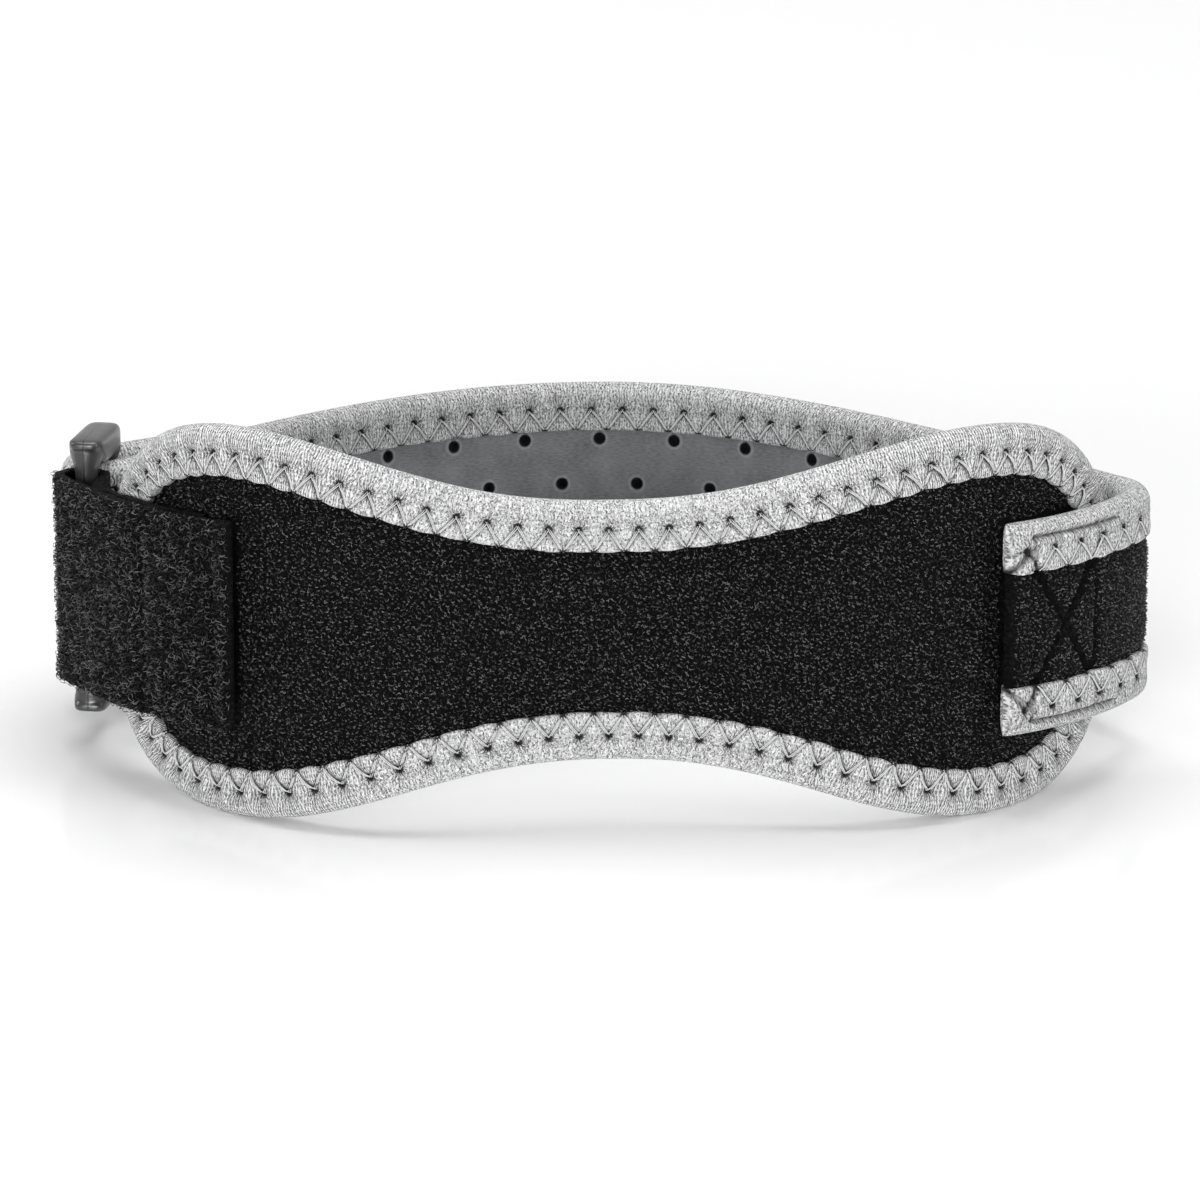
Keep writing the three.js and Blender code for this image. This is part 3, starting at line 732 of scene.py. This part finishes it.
def stitch_relief(s, q, seed, first=0.0, vigour=1.0, pitch=STITCH_PITCH):
    """How far a bound edge stands over its plain surface, s along it and q in from its rim.

    Stitches pinch a hole every pitch. Two legs run from each hole to the binding's inner edge.
    vigour is how hard they pull: less where the edge is drawn straight."""
    number = np.round((s - first) / pitch)
    ds = s - first - number * pitch
    dq = q - STITCH_IN
    r = np.hypot(ds, dq)
    edge = BINDING_WIDTH - STITCH_IN
    half = pitch / 2
    right, left = (to_segment(ds, dq, (0, 0), (way, edge)) for way in (half, -half))
    leg = np.minimum(right, left)
    swell = 0.5 - 0.5 * np.cos(2 * np.pi * ds / pitch)
    outside = rise(q, 0.5, 3.5) * (1 - rise(dq, -0.3, 1.2))
    relief = 0.42 * vigour * swell * outside
    relief = relief - 1.0 * bell(r, 0.55) - 0.5 * vigour * bell(r, 1.5)
    relief = relief - 0.3 * bell(leg, 0.38) * rise(r, 0.2, 0.9)
    relief = relief + (0.14 + 0.16 * vigour) * bell(np.hypot(ds, dq - 2.5), 1.3)
    angle = np.arctan2(ds, -dq)
    turn = number * 2.4 + seed
    spread = rise(-dq, -0.2, 0.5) * np.exp(-r / 2.6) * rise(r, 0.3, 0.9)
    gathers = np.cos(9 * angle + turn) + 0.6 * np.cos(15 * angle + 2.1 * turn)
    relief = relief + (0.06 + 0.1 * vigour) * gathers * spread
    relief = relief + 0.10 * noise(s / 3.1, q / 3.1 + 20, seed)
    return relief + 0.05 * noise(s / 1.3, q / 1.3, seed + 1)


def binding_section(half, slot):
    """A bound edge's section, from its inner front edge round the nose to the back: q in from
    the rim, and outward."""
    corner = 0.55
    flat = np.linspace(BINDING_WIDTH - corner, half, 18)
    bend = np.linspace(0, np.pi / 2, 4)[:-1]
    nose = np.linspace(np.pi / 2, -np.pi / 2, 15)[1:-1]
    front_q = [BINDING_WIDTH] + list(BINDING_WIDTH - corner * (1 - np.cos(bend))) + list(flat)
    front_o = [slot - 0.25] + list(half - corner * (1 - np.sin(bend))) + [half] * len(flat)
    q = front_q + list(half - half * np.cos(nose)) + front_q[::-1]
    o = front_o + list(half * np.sin(nose)) + [-v for v in front_o[::-1]]
    return np.array(q), np.array(o)


def bound_edge(s, half, slot, seed, first=0.0, vigour=1.0, pitch=STITCH_PITCH):
    """Its section at every length s with its relief, and the lengths along the section."""
    vigour = np.broadcast_to(np.asarray(vigour, float), s.shape)
    q, o = binding_section(half, slot)
    lengths = summed(np.hypot(np.diff(q), np.diff(o)))
    front = rise(o, 0.2 * half, 0.75 * half) - rise(-o, 0.2 * half, 0.75 * half)
    S, Q = grid(s, q)
    relief = stitch_relief(S, Q, seed, first, vigour[:, None], pitch)
    tuck = np.clip((BINDING_WIDTH - Q) / 0.35, 0, 1)
    out = o[None, :] + relief * front[None, :] * (0.25 + 0.75 * tuck)
    number = (s - first) / pitch
    scallop = (0.05 + 0.11 * vigour) * np.cos(2 * np.pi * number)
    inner = rise(q, STITCH_IN + 1, BINDING_WIDTH)
    Q = Q + scallop[:, None] * inner[None, :]
    Q = Q + 0.12 * noise(S / 2.3, Q * 0 + 5, seed + 5) * inner[None, :]
    return Q, out, lengths


def zigzag(place, holes, half, seed, first, side=1, vigour=None, pitch=STITCH_PITCH):
    """Double threads from each hole to the inner edge on both sides. place(s, q, outward)."""
    lines = []
    edge = BINDING_WIDTH - 0.2
    t = np.linspace(0, 1, 8)
    for k, s in enumerate(holes):
        pull = 0.3 if vigour is None else vigour[k]
        for way in (-1, 1):
            for beside in (-0.22, 0.22):
                along = s + way * t * (pitch / 2 - 0.12) + beside * (1 - 0.4 * t)
                along = along + (way * 0.3 - 0.22) * pull * np.sin(np.pi * t)
                across = STITCH_IN + t * (edge - STITCH_IN) + way * beside * 0.3
                lift = stitch_relief(along, across, seed, first, pull, pitch)
                rest = half + np.maximum(lift, -0.3) + 0.14
                rest = rest - 0.9 * bell(t, 0.09) - (rest - half + 0.7) * rise(t, 0.9, 1.0)
                lines.append(place(along, across, side * rest))
    return np.array(lines)


OUTLINE_U, OUTLINE_Z, OUTLINE_S = pad_outline()
OUTLINE_TOTAL = OUTLINE_S[-1]
STITCHES = round(OUTLINE_TOTAL / STITCH_PITCH)
STRETCH = OUTLINE_TOTAL / (STITCHES * STITCH_PITCH)


def on_outline(along):
    along = np.mod(along, OUTLINE_TOTAL)
    return np.interp(along, OUTLINE_S, OUTLINE_U), np.interp(along, OUTLINE_S, OUTLINE_Z)


def pad_rim(s, q, outward):
    """A point of the pad at s round its outline, q in from it; s is in whole stitch pitches."""
    probe = 0.8
    along = np.mod(s * STRETCH, OUTLINE_TOTAL)
    u, z = on_outline(along)
    u1, z1 = on_outline(along + probe)
    u0, z0 = on_outline(along - probe)
    length = np.hypot(u1 - u0, z1 - z0)
    return on_pad(u - q * (z1 - z0) / length, z + q * (u1 - u0) / length, outward)


def rim_vigour(s):
    """The pad's stitches pull least at its waist and most round its lobes."""
    u = np.abs(on_outline(s * STRETCH)[0])
    return 0.2 + 0.8 * rise(u, 18, 62)


def build_pad_binding():
    per_stitch = 11
    s = np.arange(STITCHES * per_stitch) * STITCH_PITCH / per_stitch
    vigour = rim_vigour(s)
    q, out, lengths = bound_edge(s, PAD_EDGE, PAD_SLOT, 11, vigour=vigour)
    points = pad_rim(s[:, None] + 0 * q, q, out)
    fields = {"inward": q, "first": 0 * q, "dark": 0 * q, "pull": vigour[:, None] + 0 * q}
    around = STITCHES * STITCH_PITCH
    made = grid_object("pad_binding_cloth", points, s, lengths, around_s=around, fields=fields)
    finish_piece(made, KNIT, "pad_knit", "pad_binding")
    holes = np.arange(STITCHES) * STITCH_PITCH
    pull = rim_vigour(holes)
    front = zigzag(pad_rim, holes, PAD_EDGE, 11, 0.0, 1, pull)
    back = zigzag(pad_rim, holes, PAD_EDGE, 11, 0.0, -1, pull)
    made = tubes("pad_binding_thread", np.concatenate([front, back]), THREAD_RADIUS, 4)
    finish_piece(made, THREAD, "pad_knit")


# Pad cover and foam

def inset_height(u, inset):
    slope = pad_half_height(u + 0.5) - pad_half_height(u - 0.5)
    return pad_half_height(u) - inset * np.hypot(1, slope)


def pad_relief(u, share, dome):
    """The swell of the cover or foam over its edge, 1 at the middle and 0 at the binding."""
    end = PAD_HALF_LENGTH - np.abs(u - PAD_SHIFT)
    return dome * rise(end, 9, 30) * (1 - np.abs(share) ** 3.2)


def pad_sheet(name, step, dome, side, extra=None):
    end = PAD_HALF_LENGTH - COVER_INSET
    u = np.arange(PAD_SHIFT - end, PAD_SHIFT + end + step / 2, step)
    rows = int(56 / step)
    share = np.linspace(-1, 1, rows)
    height = np.maximum(0.4, inset_height(u, COVER_INSET))
    z = height[:, None] * share[None, :]
    U = u[:, None] + 0 * z
    out = COVER_EDGE + pad_relief(U, share[None, :], dome)
    if extra is not None:
        out = out + extra(U, z)
    return grid_object(name, on_pad(U, z, side * out), u, share * 28)


# u, lower and upper z, and depth of each fold
COVER_FOLDS = (
    (-64.2, -29, -18, 0.55), (-67.6, -29, -18.5, 0.4), (-59.5, -27, -19, 0.3),
    (-62.5, 18.5, 27, 0.35), (66.5, -27, -19, 0.4), (68.5, 19.5, 27, 0.3),
)


def cover_creases(u, z):
    """Pulled folds below and above the tab's sewn end and beside the strap's."""
    relief = 0.16 * noise(u / 9, z / 9, 41) + 0.08 * noise(u / 3.4, z / 3.4, 42)
    for at, foot, top, deep in COVER_FOLDS:
        relief = relief - deep * bell(to_segment(u, z, (at, foot), (at + 0.8, top)), 0.75)
    return relief


def build_pad():
    cover = pad_sheet("pad_face_terry", 0.72, FACE_DOME, 1, cover_creases)
    finish_piece(cover, TERRY, "terry", "pad_face")
    foam = pad_sheet("pad_cushion_cloth", 1.1, FOAM_DOME, -1)
    finish_piece(foam, FOAM, "foam", "pad_cushion")


# Strap

BOX_START = 4.6
BOX_END = 20.2
GROOVE_END = 25.5
BOX_HALF = 17.0
CROSS_HALF = 10.6


def end_round(s, half):
    """Share of the strap's half thickness left at its folded end and at its tail's end."""
    return rounded(np.minimum(s, 2.2 * (STRAP_END - s)), half)


def to_pair(s, z, a, b):
    """Distance to the segment from a to b or to its mirror image across the strap's middle."""
    return np.minimum(to_segment(s, z, a, b), to_segment(s, z, (a[0], -a[1]), (b[0], -b[1])))


def box_relief(s, z):
    """Grooves of the box and cross sewn through the strap's end, z from the strap's middle."""
    start, end = (to_segment(s, z, (at, -BOX_HALF), (at, BOX_HALF)) for at in (BOX_START, BOX_END))
    edge = np.minimum(start, end)
    rim = to_pair(s, z, (BOX_START, BOX_HALF), (GROOVE_END, BOX_HALF))
    cross = to_pair(s, z, (BOX_START + 1, -CROSS_HALF), (BOX_END - 1, CROSS_HALF))
    soft = 0.85 * bell(cross, 1.1) + 0.3 * bell(cross, 0.35)
    soft = soft + 0.7 * bell(edge, 0.75) * (0.35 + 0.65 * (s > (BOX_START + BOX_END) / 2))
    return -soft - 1.6 * bell(rim, 0.45)


def box_shade(s, z):
    """How dark the stitched grooves make the binding at the strap's end."""
    side = np.where(z > 0, 1, -1) * z
    rim = to_segment(s, side, (BOX_START, BOX_HALF), (GROOVE_END, BOX_HALF))
    down = to_segment(s, side, (BOX_START, BOX_HALF), (BOX_START + 0.6, 10))
    return 0.95 * bell(rim, 0.38) + 0.6 * bell(down, 0.3)


SHELL_TOP = STRAP_WIDTH / 2 - 6.5


def shell_height(s, z):
    out = COVER_EDGE + 0.75 * rise(SHELL_TOP - np.abs(z), 1.0, 6.0) + box_relief(s, z)
    out = out + 0.14 * noise(s / 6, z / 6, 51) + 0.08 * noise(s / 2.2, z / 2.2, 52)
    return out * end_round(s, STRAP_HALF)


def build_strap_shell():
    s = np.concatenate([np.arange(0, 34, 0.45), np.arange(34, STRAP_END, 0.9), [STRAP_END]])
    z = np.linspace(-SHELL_TOP, SHELL_TOP, 60)
    S, Z = grid(s, z)
    made = grid_object("strap_shell_plush", on_strap(S, Z, shell_height(S, Z)), s, z)
    finish_piece(made, TERRY, "plush", "strap_shell")


def hole_places():
    """(s, z) of the punched holes of the lining, in three staggered rows."""
    middle = MARKS["lap"] + MARKS["run"] / 2 + HOLE_SHIFT
    reach = math.floor((MARKS["run"] / 2 - 6) / HOLE_PITCH)
    outer = (ROW_PITCH, -ROW_PITCH)
    places = [(middle + i * HOLE_PITCH, z) for i in range(-reach, reach + 1) for z in outer]
    places += [(middle + (i + 0.5) * HOLE_PITCH, 0.0) for i in range(-reach, reach)]
    tail = FOLD_START + MARKS["fold"] + 6
    places += [(tail, ROW_PITCH), (tail, -ROW_PITCH), (tail + HOLE_PITCH / 2, 0.0)]
    places += [(tail + HOLE_PITCH, z) for z in outer]
    return places


def build_strap_lining():
    step = 0.4
    top = STRAP_WIDTH / 2 - 7.2
    s = np.arange(LAP_LENGTH - 6, STRAP_END, step)
    z = np.linspace(-top, top, int(2 * top / step) + 1)
    S, Z = grid(s, z)
    out = -COVER_EDGE - 0.25 * rise(top - np.abs(Z), 0.5, 5) + 0.08 * noise(S / 7, Z / 7, 61)
    near = np.full_like(S, 9.0)
    for hs, hz in hole_places():
        away = np.hypot(S - hs, Z - hz)
        edge = (away > HOLE_RADIUS * 0.75) & (away < HOLE_RADIUS * 1.3)
        scale = np.where(edge, HOLE_RADIUS / np.maximum(away, 1e-6), 1)
        S = np.where(edge, hs + (S - hs) * scale, S)
        Z = np.where(edge, hz + (Z - hz) * scale, Z)
        away = np.hypot(S - hs, Z - hz)
        near = np.minimum(near, away)
        out = out + 1.1 * (away < HOLE_RADIUS * 0.8) - 0.1 * bell(away - HOLE_RADIUS, 0.5)
    out = out * end_round(S, STRAP_HALF)
    made = grid_object("strap_lining_knit", on_strap(S, Z, out), s, z, fields={"near": near})
    finish_piece(made, LINING, "lining", "strap_lining")


def corner_folds(s, q, side):
    """The binding's end, tucked round the strap's corner in diagonal folds."""
    if side > 0:
        flap = (1 - rise(s + 0.12 * (q - 4), 4.6, 5.1)) * rise(q, 3.2, 3.8)
        relief = 0.55 * flap
        folds = [((0.3, 8.8), (4.4, 4.2)), ((0.2, 5.6), (3.4, 3.9)), ((2.6, 9.2), (4.9, 7.0))]
    else:
        flap = (1 - rise(s, 3.0, 3.6)) * rise(q, 2.4, 3.0)
        relief = 0.4 * flap
        folds = [((1.6, 1.8), (6.4, 8.6)), ((0.4, 8.6), (4.4, 5.4)), ((4.6, 3.2), (8.4, 7.8))]
    shade = 0 * s
    for a, b in folds:
        fold = to_segment(s, q, a, b)
        relief = relief - 0.42 * bell(fold, 0.32)
        # Painted shade along each fold.
        shade = shade + 0.5 * bell(fold, 0.26)
    return relief, shade


def build_strap_binding(side, name):
    s = np.concatenate([np.arange(0, 4, 0.3), np.arange(4, STRAP_END, 0.52), [STRAP_END]])
    first, seed = FIRST_STITCH, 70 + side
    q, out, lengths = bound_edge(s, STRAP_HALF, PAD_SLOT, seed, first, 0.3, STRAP_PITCH)
    S = s[:, None] + 0 * q
    Z = side * (STRAP_WIDTH / 2 - q)
    front = rise(out, 0.5, 2.0)
    folds, shade = corner_folds(S, q, side)
    out = out + front * (box_relief(S, Z) * 0.8 + folds)
    out = out * end_round(S, STRAP_HALF)
    # The dark field is painted shade: in the stitched grooves at the strap's end and along the corner
    # folds.
    fields = {"inward": q, "first": first + 0 * q, "pull": 0.55 + 0 * q,
              "dark": front * (box_shade(S, Z) + shade)}
    made = grid_object(name + "_cloth", on_strap(S, Z, out), s, lengths, fields=fields)
    finish_piece(made, SHADED_STRAP_KNIT, "strap_knit", name)
    holes = np.arange(first + STRAP_PITCH, STRAP_END - 3, STRAP_PITCH)

    def place(along, across, outward):
        return on_strap(along, side * (STRAP_WIDTH / 2 - across), outward)

    front, back = (
        zigzag(place, holes, STRAP_HALF, seed, first, way, pitch=STRAP_PITCH) for way in (1, -1)
    )
    made = tubes(name + "_thread", np.concatenate([front, back]), THREAD_RADIUS, 4)
    finish_piece(made, THREAD, "strap_knit")


# Tab

def tab_plan():
    front_u = PAD_LEFT - np.linspace(-TAB_FRONT_LAP, RING_REACH, 200)
    front = PAD.place(front_u, FRONT_LEAF)
    heading = PAD.turn(PAD_LEFT) + math.pi
    wrap = arc(TAB_FOLD, TAB_WRAP, heading, -math.pi)
    length = np.linspace(0, TAB_BACK_LAP + RING_REACH, 200)
    dip = FRONT_LEAF - 2 * TAB_WRAP - BACK_LEAF
    sag = dip * (1 - rise(length, 0, RING_REACH + TAB_THICKNESS))
    back = PAD.place(PAD_LEFT - RING_REACH + length, BACK_LEAF + sag)
    return joined([front, wrap, back], 9)


TAB = tab_plan()


def tab_height(s, z):
    """Height of the tab's plush over its middle surface, on its outer side."""
    inner = rise(TAB_WIDTH / 2 - np.abs(z), 0.2, 2.5)
    height = TAB_THICKNESS / 2 + 0.22 * noise(s / 8, z / 8, 81) + 0.10 * noise(s / 2.6, z / 2.6, 82)
    height = height - 0.75 * bell(s - 20.5, 1.5) * inner
    height = height - 0.5 * bell(to_segment(s, z, (19.3, 19), (16.4, 11.5)), 0.5)
    height = height + 0.45 * bell(s - 1.6, 1.2) - 0.45 * bell(s - 3.9, 0.6)
    return height * rounded(s, TAB_ROUND)


def on_tab(s, z, outward):
    x, y = TAB.place(s, -outward)
    return np.stack([x, y, z + STRAP_RISE], -1)


def build_tab():
    s = np.concatenate([[0, 0.1, 0.25], np.arange(0.45, TAB.s[-1], 0.5)])
    half = TAB_THICKNESS / 2
    z = np.linspace(-TAB_WIDTH / 2, TAB_WIDTH / 2, 72)
    S, Z = grid(s, z)
    outer = tab_height(S, Z)
    inner = -half * rounded(S, TAB_ROUND)
    rim = inner[:, :2] * np.array([[-0.45, 0.45]])
    out = np.concatenate([outer, rim, inner[:, ::-1], -rim], 1)
    zz = np.concatenate([z, [TAB_WIDTH / 2 + 0.15] * 2, z[::-1], [-TAB_WIDTH / 2 - 0.15] * 2])
    at_edge = np.abs(zz) > TAB_WIDTH / 2 - 0.5
    ragged = 0.18 * noise(s[:, None] / 1.7, zz[None, :] * 0 + 3, 83) * at_edge
    q = summed(np.abs(np.diff(zz)) + 0.05)
    points = on_tab(s[:, None] + 0 * out, zz[None, :] + ragged, out)
    made = grid_object("tab_plush", points, s, q, around_q=q[-1] + 1)
    finish_piece(made, PLUSH, "plush", "tab")


# Ring

def rounded_block(x, y, z0, z1):
    """A loaf: rounded rectangle in plan, crowned on top, as a point grid closed in plan."""
    angle = np.linspace(0, 2 * np.pi, 97)[:-1]
    power = 0.42
    c, s = np.cos(angle), np.sin(angle)
    px = np.sign(c) * np.abs(c) ** power
    py = np.sign(s) * np.abs(s) ** power
    rings = []
    for t in np.linspace(-np.pi / 2, np.pi / 2, 15):
        lift = np.sign(math.sin(t)) * abs(math.sin(t)) ** 0.55
        wide = abs(math.cos(t)) ** 0.42
        z = (z0 + z1) / 2 + (z1 - z0) / 2 * lift
        rings.append(np.stack([px * x / 2 * wide, py * y / 2 * wide, z + 0 * px], -1))
    return np.array(rings)


# Each bar's place, its reach past the slot, and start, end and power of its flare to the blocks
BARS = ((-BAR_PITCH / 2, 4.2, 1.6, 3.8, 1), (BAR_PITCH / 2, 1.5, 3.2, 0.8, 1.5))


def build_ring():
    """Bars and blocks are joined, then remeshed and smoothed, which fills their inner corners."""
    length = BAR_PITCH + RING_BAR + 0.8
    middle = (NEAR_BAR + FAR_BAR) / 2
    cos, sin = math.cos(RING_HEADING), math.sin(RING_HEADING)
    parts = []
    for side in (-1, 1):
        low, high = side * RING_SLOT / 2, side * (RING_SLOT / 2 + RING_BLOCK)
        loaf = rounded_block(length, RING_BLOCK_WIDTH, min(low, high), max(low, high))
        share = (loaf[..., 2] - high) / (low - high)
        near = rise(-loaf[..., 0], length / 2 - 5.0, length / 2 - 1.0)
        loaf[..., 2] += side * 3.2 * share * near
        parts.append(loaf)
    angle = np.linspace(0, 2 * np.pi, 33)[:-1]
    half = RING_SLOT / 2
    for at, end, below, above, power in BARS:
        rings = []
        for z in np.linspace(-half - end, half + end, 90):
            flare = 1 + 0.5 * rise(abs(z), half - below, half + above) ** power
            along = RING_BAR / 2 * (1 + (flare - 1) * 0.1)
            wide = RING_BAR / 2 * flare
            rings.append(np.stack([at + along * np.cos(angle), wide * np.sin(angle), z + 0 * angle], -1))
        parts.append(np.array(rings))
    vertices, faces, base = [], [], 0
    for rings in parts:
        n, m = rings.shape[:2]
        vertices.append(rings.reshape(-1, 3))
        for i in range(n - 1):
            row, after = base + i * m, base + (i + 1) * m
            for j in range(m):
                k = (j + 1) % m
                faces.append([row + j, row + k, after + k, after + j])
        faces.append([base + j for j in range(m)][::-1])
        faces.append([base + (n - 1) * m + j for j in range(m)])
        base += n * m
    local = np.concatenate(vertices)
    x = middle[0] + local[:, 0] * cos - local[:, 1] * sin
    y = middle[1] + local[:, 0] * sin + local[:, 1] * cos
    made = make_object("ring_moulding", np.stack([x, y, local[:, 2] + STRAP_RISE], -1), faces)
    remesh = made.modifiers.new("join", "REMESH")
    remesh.mode = "VOXEL"
    remesh.voxel_size = 0.00024
    remesh.use_smooth_shade = True
    soften = made.modifiers.new("soften", "SMOOTH")
    soften.iterations = 9
    soften.factor = 0.5
    thin = made.modifiers.new("thin", "DECIMATE")
    thin.ratio = 0.45
    apply_modifiers(made)
    finish_piece(made, MOULDED, "moulding", "ring")


def apply_modifiers(made):
    bpy.context.view_layer.update()
    graph = bpy.context.evaluated_depsgraph_get()
    mesh = bpy.data.meshes.new_from_object(made.evaluated_get(graph))
    made.modifiers.clear()
    old = made.data
    made.data = mesh
    bpy.data.meshes.remove(old)
    mesh.polygons.foreach_set("use_smooth", np.ones(len(mesh.polygons), bool))


# Pile

def pile(name, roots, normals, alongs, size, radius, seed, curl, points):
    """Small loops of yarn that stand on the cloth at these roots."""
    rng = np.random.default_rng(seed)
    count = len(roots)
    across = np.cross(normals, alongs)
    angle = rng.normal(0, curl, count)[:, None]
    way = alongs * np.cos(angle) + across * np.sin(angle)
    lean = rng.normal(0, LOOP_LEAN, (count, 1))
    side = np.cross(normals, way)
    up = normals * np.cos(lean) + side * np.sin(lean)
    wide = size * rng.uniform(0.7, 1.25, (count, 1))
    tall = size * rng.uniform(0.45, 1.05, (count, 1))
    t = np.linspace(0, np.pi, points)
    lines = [roots + way * wide * 0.5 * math.cos(a) + up * (tall * math.sin(a) - 0.12) for a in t]
    # A random painted glint for each loop.
    glint_share = np.repeat(rng.uniform(0, 1, count), points * 3)
    return tubes(name, np.stack(lines, 1), radius, 3, {"glint_share": glint_share})


def frames_from(function, a, b, probe=0.05):
    """Point, normal and along direction of a surface function(a, b) -> points."""
    here = function(a, b)
    da = function(a + probe, b) - here
    db = function(a, b + probe) - here
    along = da / np.linalg.norm(da, axis=1, keepdims=True)
    normal = np.cross(da, db)
    normal /= np.linalg.norm(normal, axis=1, keepdims=True)
    return here, normal, along


def scattered(low, high, bottom, top, pitch, jitter, seed):
    """Places over a rectangle in rows, each a little off its own."""
    rng = np.random.default_rng(seed)
    rows, columns = np.arange(low, high, pitch[0]), np.arange(bottom, top, pitch[1])
    a, b = grid(rows, columns)
    a = (a + rng.uniform(-jitter, jitter, a.shape)).ravel()
    b = (b + rng.uniform(-jitter, jitter, b.shape)).ravel()
    return a, b


def build_pile():
    u, z = scattered(-92, 92, -27, 27, LOOP_PITCH, LOOP_JITTER, 5)
    inset = BINDING_WIDTH - 0.4
    inside = np.abs(z) < inset_height(u, inset)
    ends = PAD_HALF_LENGTH - np.abs(u - PAD_SHIFT) > inset + 1
    under_tab = (u < PAD_LEFT + TAB_FRONT_LAP - 1) & (np.abs(z) < TAB_WIDTH / 2 - 1)
    under_strap = (u > PAD_RIGHT - LAP_LENGTH + 1) & (np.abs(z) < STRAP_WIDTH / 2 - 1)
    keep = inside & ends & ~under_tab & ~under_strap
    u, z = u[keep], z[keep]

    def cover(a, b):
        height = np.maximum(0.4, inset_height(a, COVER_INSET))
        out = COVER_EDGE + pad_relief(a, np.clip(b / height, -1, 1), FACE_DOME) + cover_creases(a, b)
        return on_pad(a, b, out)

    frames = frames_from(cover, u, z)
    made = pile("pad_face_loops", *frames, LOOP_SIZE, LOOP_RADIUS, 6, LOOP_CURL, 3)
    finish_piece(made, LOOPS, "terry")

    def strap(a, b):
        return on_strap(a, b, shell_height(a, b))

    reach = FOLD_START - TAIL_LENGTH - 5
    low, high = -SHELL_TOP + 2.4, SHELL_TOP - 2.2
    a, b = scattered(1.5, reach, low, high, LOOP_PITCH, LOOP_JITTER, 7)
    share = 1 - 0.72 * rise(a, 45, 75)
    keep = (box_relief(a, b) > -0.5) & (np.random.default_rng(12).uniform(0, 1, len(a)) < share)
    a, b = a[keep], b[keep]
    frames = frames_from(strap, a, b)
    made = pile("strap_shell_loops", *frames, LOOP_SIZE, LOOP_RADIUS, 8, LOOP_CURL, 3)
    finish_piece(made, LOOPS, "plush")

    def tab(a, b):
        return on_tab(a, b, tab_height(a, b))

    reach = TAB_FRONT_LAP + RING_REACH + math.pi * TAB_WRAP
    top = TAB_WIDTH / 2 - 0.1
    a, b = scattered(0.9, reach, -top, top, (0.58, 0.58), 0.4, 9)
    points, normals, alongs = frames_from(tab, a, b)
    made = pile("tab_fibres", points, -normals, alongs, 0.95, 0.075, 10, 3.0, 4)
    finish_piece(made, FIBRES, "plush")


# Floor, light and camera

def build_stage():
    half = 3.0
    mesh = bpy.data.meshes.new("floor")
    back, height, bend = 2.0, 3.0, 0.8
    profile = [(-half, 0.0), (back - bend, 0.0)]
    profile += [(back - bend + bend * math.sin(a), bend * (1 - math.cos(a)))
                for a in np.linspace(0.1, math.pi / 2, 12)]
    profile.append((back, height))
    vertices = [(x, y, z) for y, z in profile for x in (-half, half)]
    faces = [(2 * i, 2 * i + 1, 2 * i + 3, 2 * i + 2) for i in range(len(profile) - 1)]
    mesh.from_pydata(vertices, [], faces)
    mesh.polygons.foreach_set("use_smooth", np.ones(len(faces), bool))
    floor = new_object("floor", mesh)
    white = (0.93, 0.93, 0.935)
    look = material("floor", white, 0.12, 0.5, Coat_Weight=0.2, Coat_Roughness=0.06)[0]
    mesh.materials.append(look)
    floor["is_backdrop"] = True


def area_light(name, place, target, size, power):
    data = bpy.data.lights.new(name, "AREA")
    data.shape = "RECTANGLE"
    data.size, data.size_y = size
    data.energy = power
    light = new_object(name, data)
    forward = np.array(place, float) - np.array(target, float)
    forward /= np.linalg.norm(forward)
    side = np.cross([0, 0, 1.0], forward)
    side /= np.linalg.norm(side)
    rows = np.stack([side, np.cross(forward, side), forward, place], 1).tolist()
    light.matrix_world = Matrix([*rows, [0, 0, 0, 1]])
    light.visible_camera = False


def build_lights():
    world = bpy.data.worlds.new("studio")
    bpy.context.scene.world = world
    world.use_nodes = True
    background = world.node_tree.nodes["Background"]
    background.inputs["Color"].default_value = (1, 1, 1, 1)
    background.inputs["Strength"].default_value = 0.25
    area_light("top", (0.05, 0.25, 1.3), (0, 0, 0), (1.0, 0.8), 12.3)
    area_light("front", (-0.4, -1.5, 0.45), (0, 0, 0.03), (0.6, 0.5), 15.5)
    area_light("right", (1.2, -0.5, 0.6), (0, 0, 0.03), (0.4, 0.7), 5.6)
    area_light("left", (-1.2, 0.2, 0.7), (0, 0, 0.03), (0.4, 0.7), 5.0)


def build_camera():
    """The photograph's view: 15 degrees above the loop's own level, from 1.25 m."""
    tilt, distance = math.radians(15), 1250
    sensor, photo, scale = 36, 1200, 5.65  # mm, the picture's width and its pixels to a millimetre
    data = bpy.data.cameras.new("camera")
    data.sensor_width = sensor
    data.lens = sensor * scale * distance / photo
    data.shift_x = (photo / 2 - 607) / photo
    data.shift_y = (634 - photo / 2) / photo
    camera = new_object("camera", data)
    bpy.context.scene.camera = camera
    spot = np.array([0, -2.9 - distance * math.cos(tilt), distance * math.sin(tilt)])
    x, y, z = to_world(spot)
    turn = Matrix.Rotation(math.pi / 2 - tilt - LEAN, 4, "X")
    camera.matrix_world = Matrix.Translation((x, y, z)) @ turn
    data.clip_start, data.clip_end = 0.05, 20


build_camera()
build_stage()
build_lights()
build_pad_binding()
build_pad()
build_strap_shell()
build_strap_lining()
build_strap_binding(1, "strap_binding_top")
build_strap_binding(-1, "strap_binding_bottom")
build_tab()
build_ring()
build_pile()
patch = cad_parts["hook_patch"]
patch.data.materials.clear()
patch.data.materials.append(PATCH)
bpy.context.scene.view_settings.view_transform = "Standard"
boxes = [list(map(float, corner)) for corner in (*cad_box, *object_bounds())]
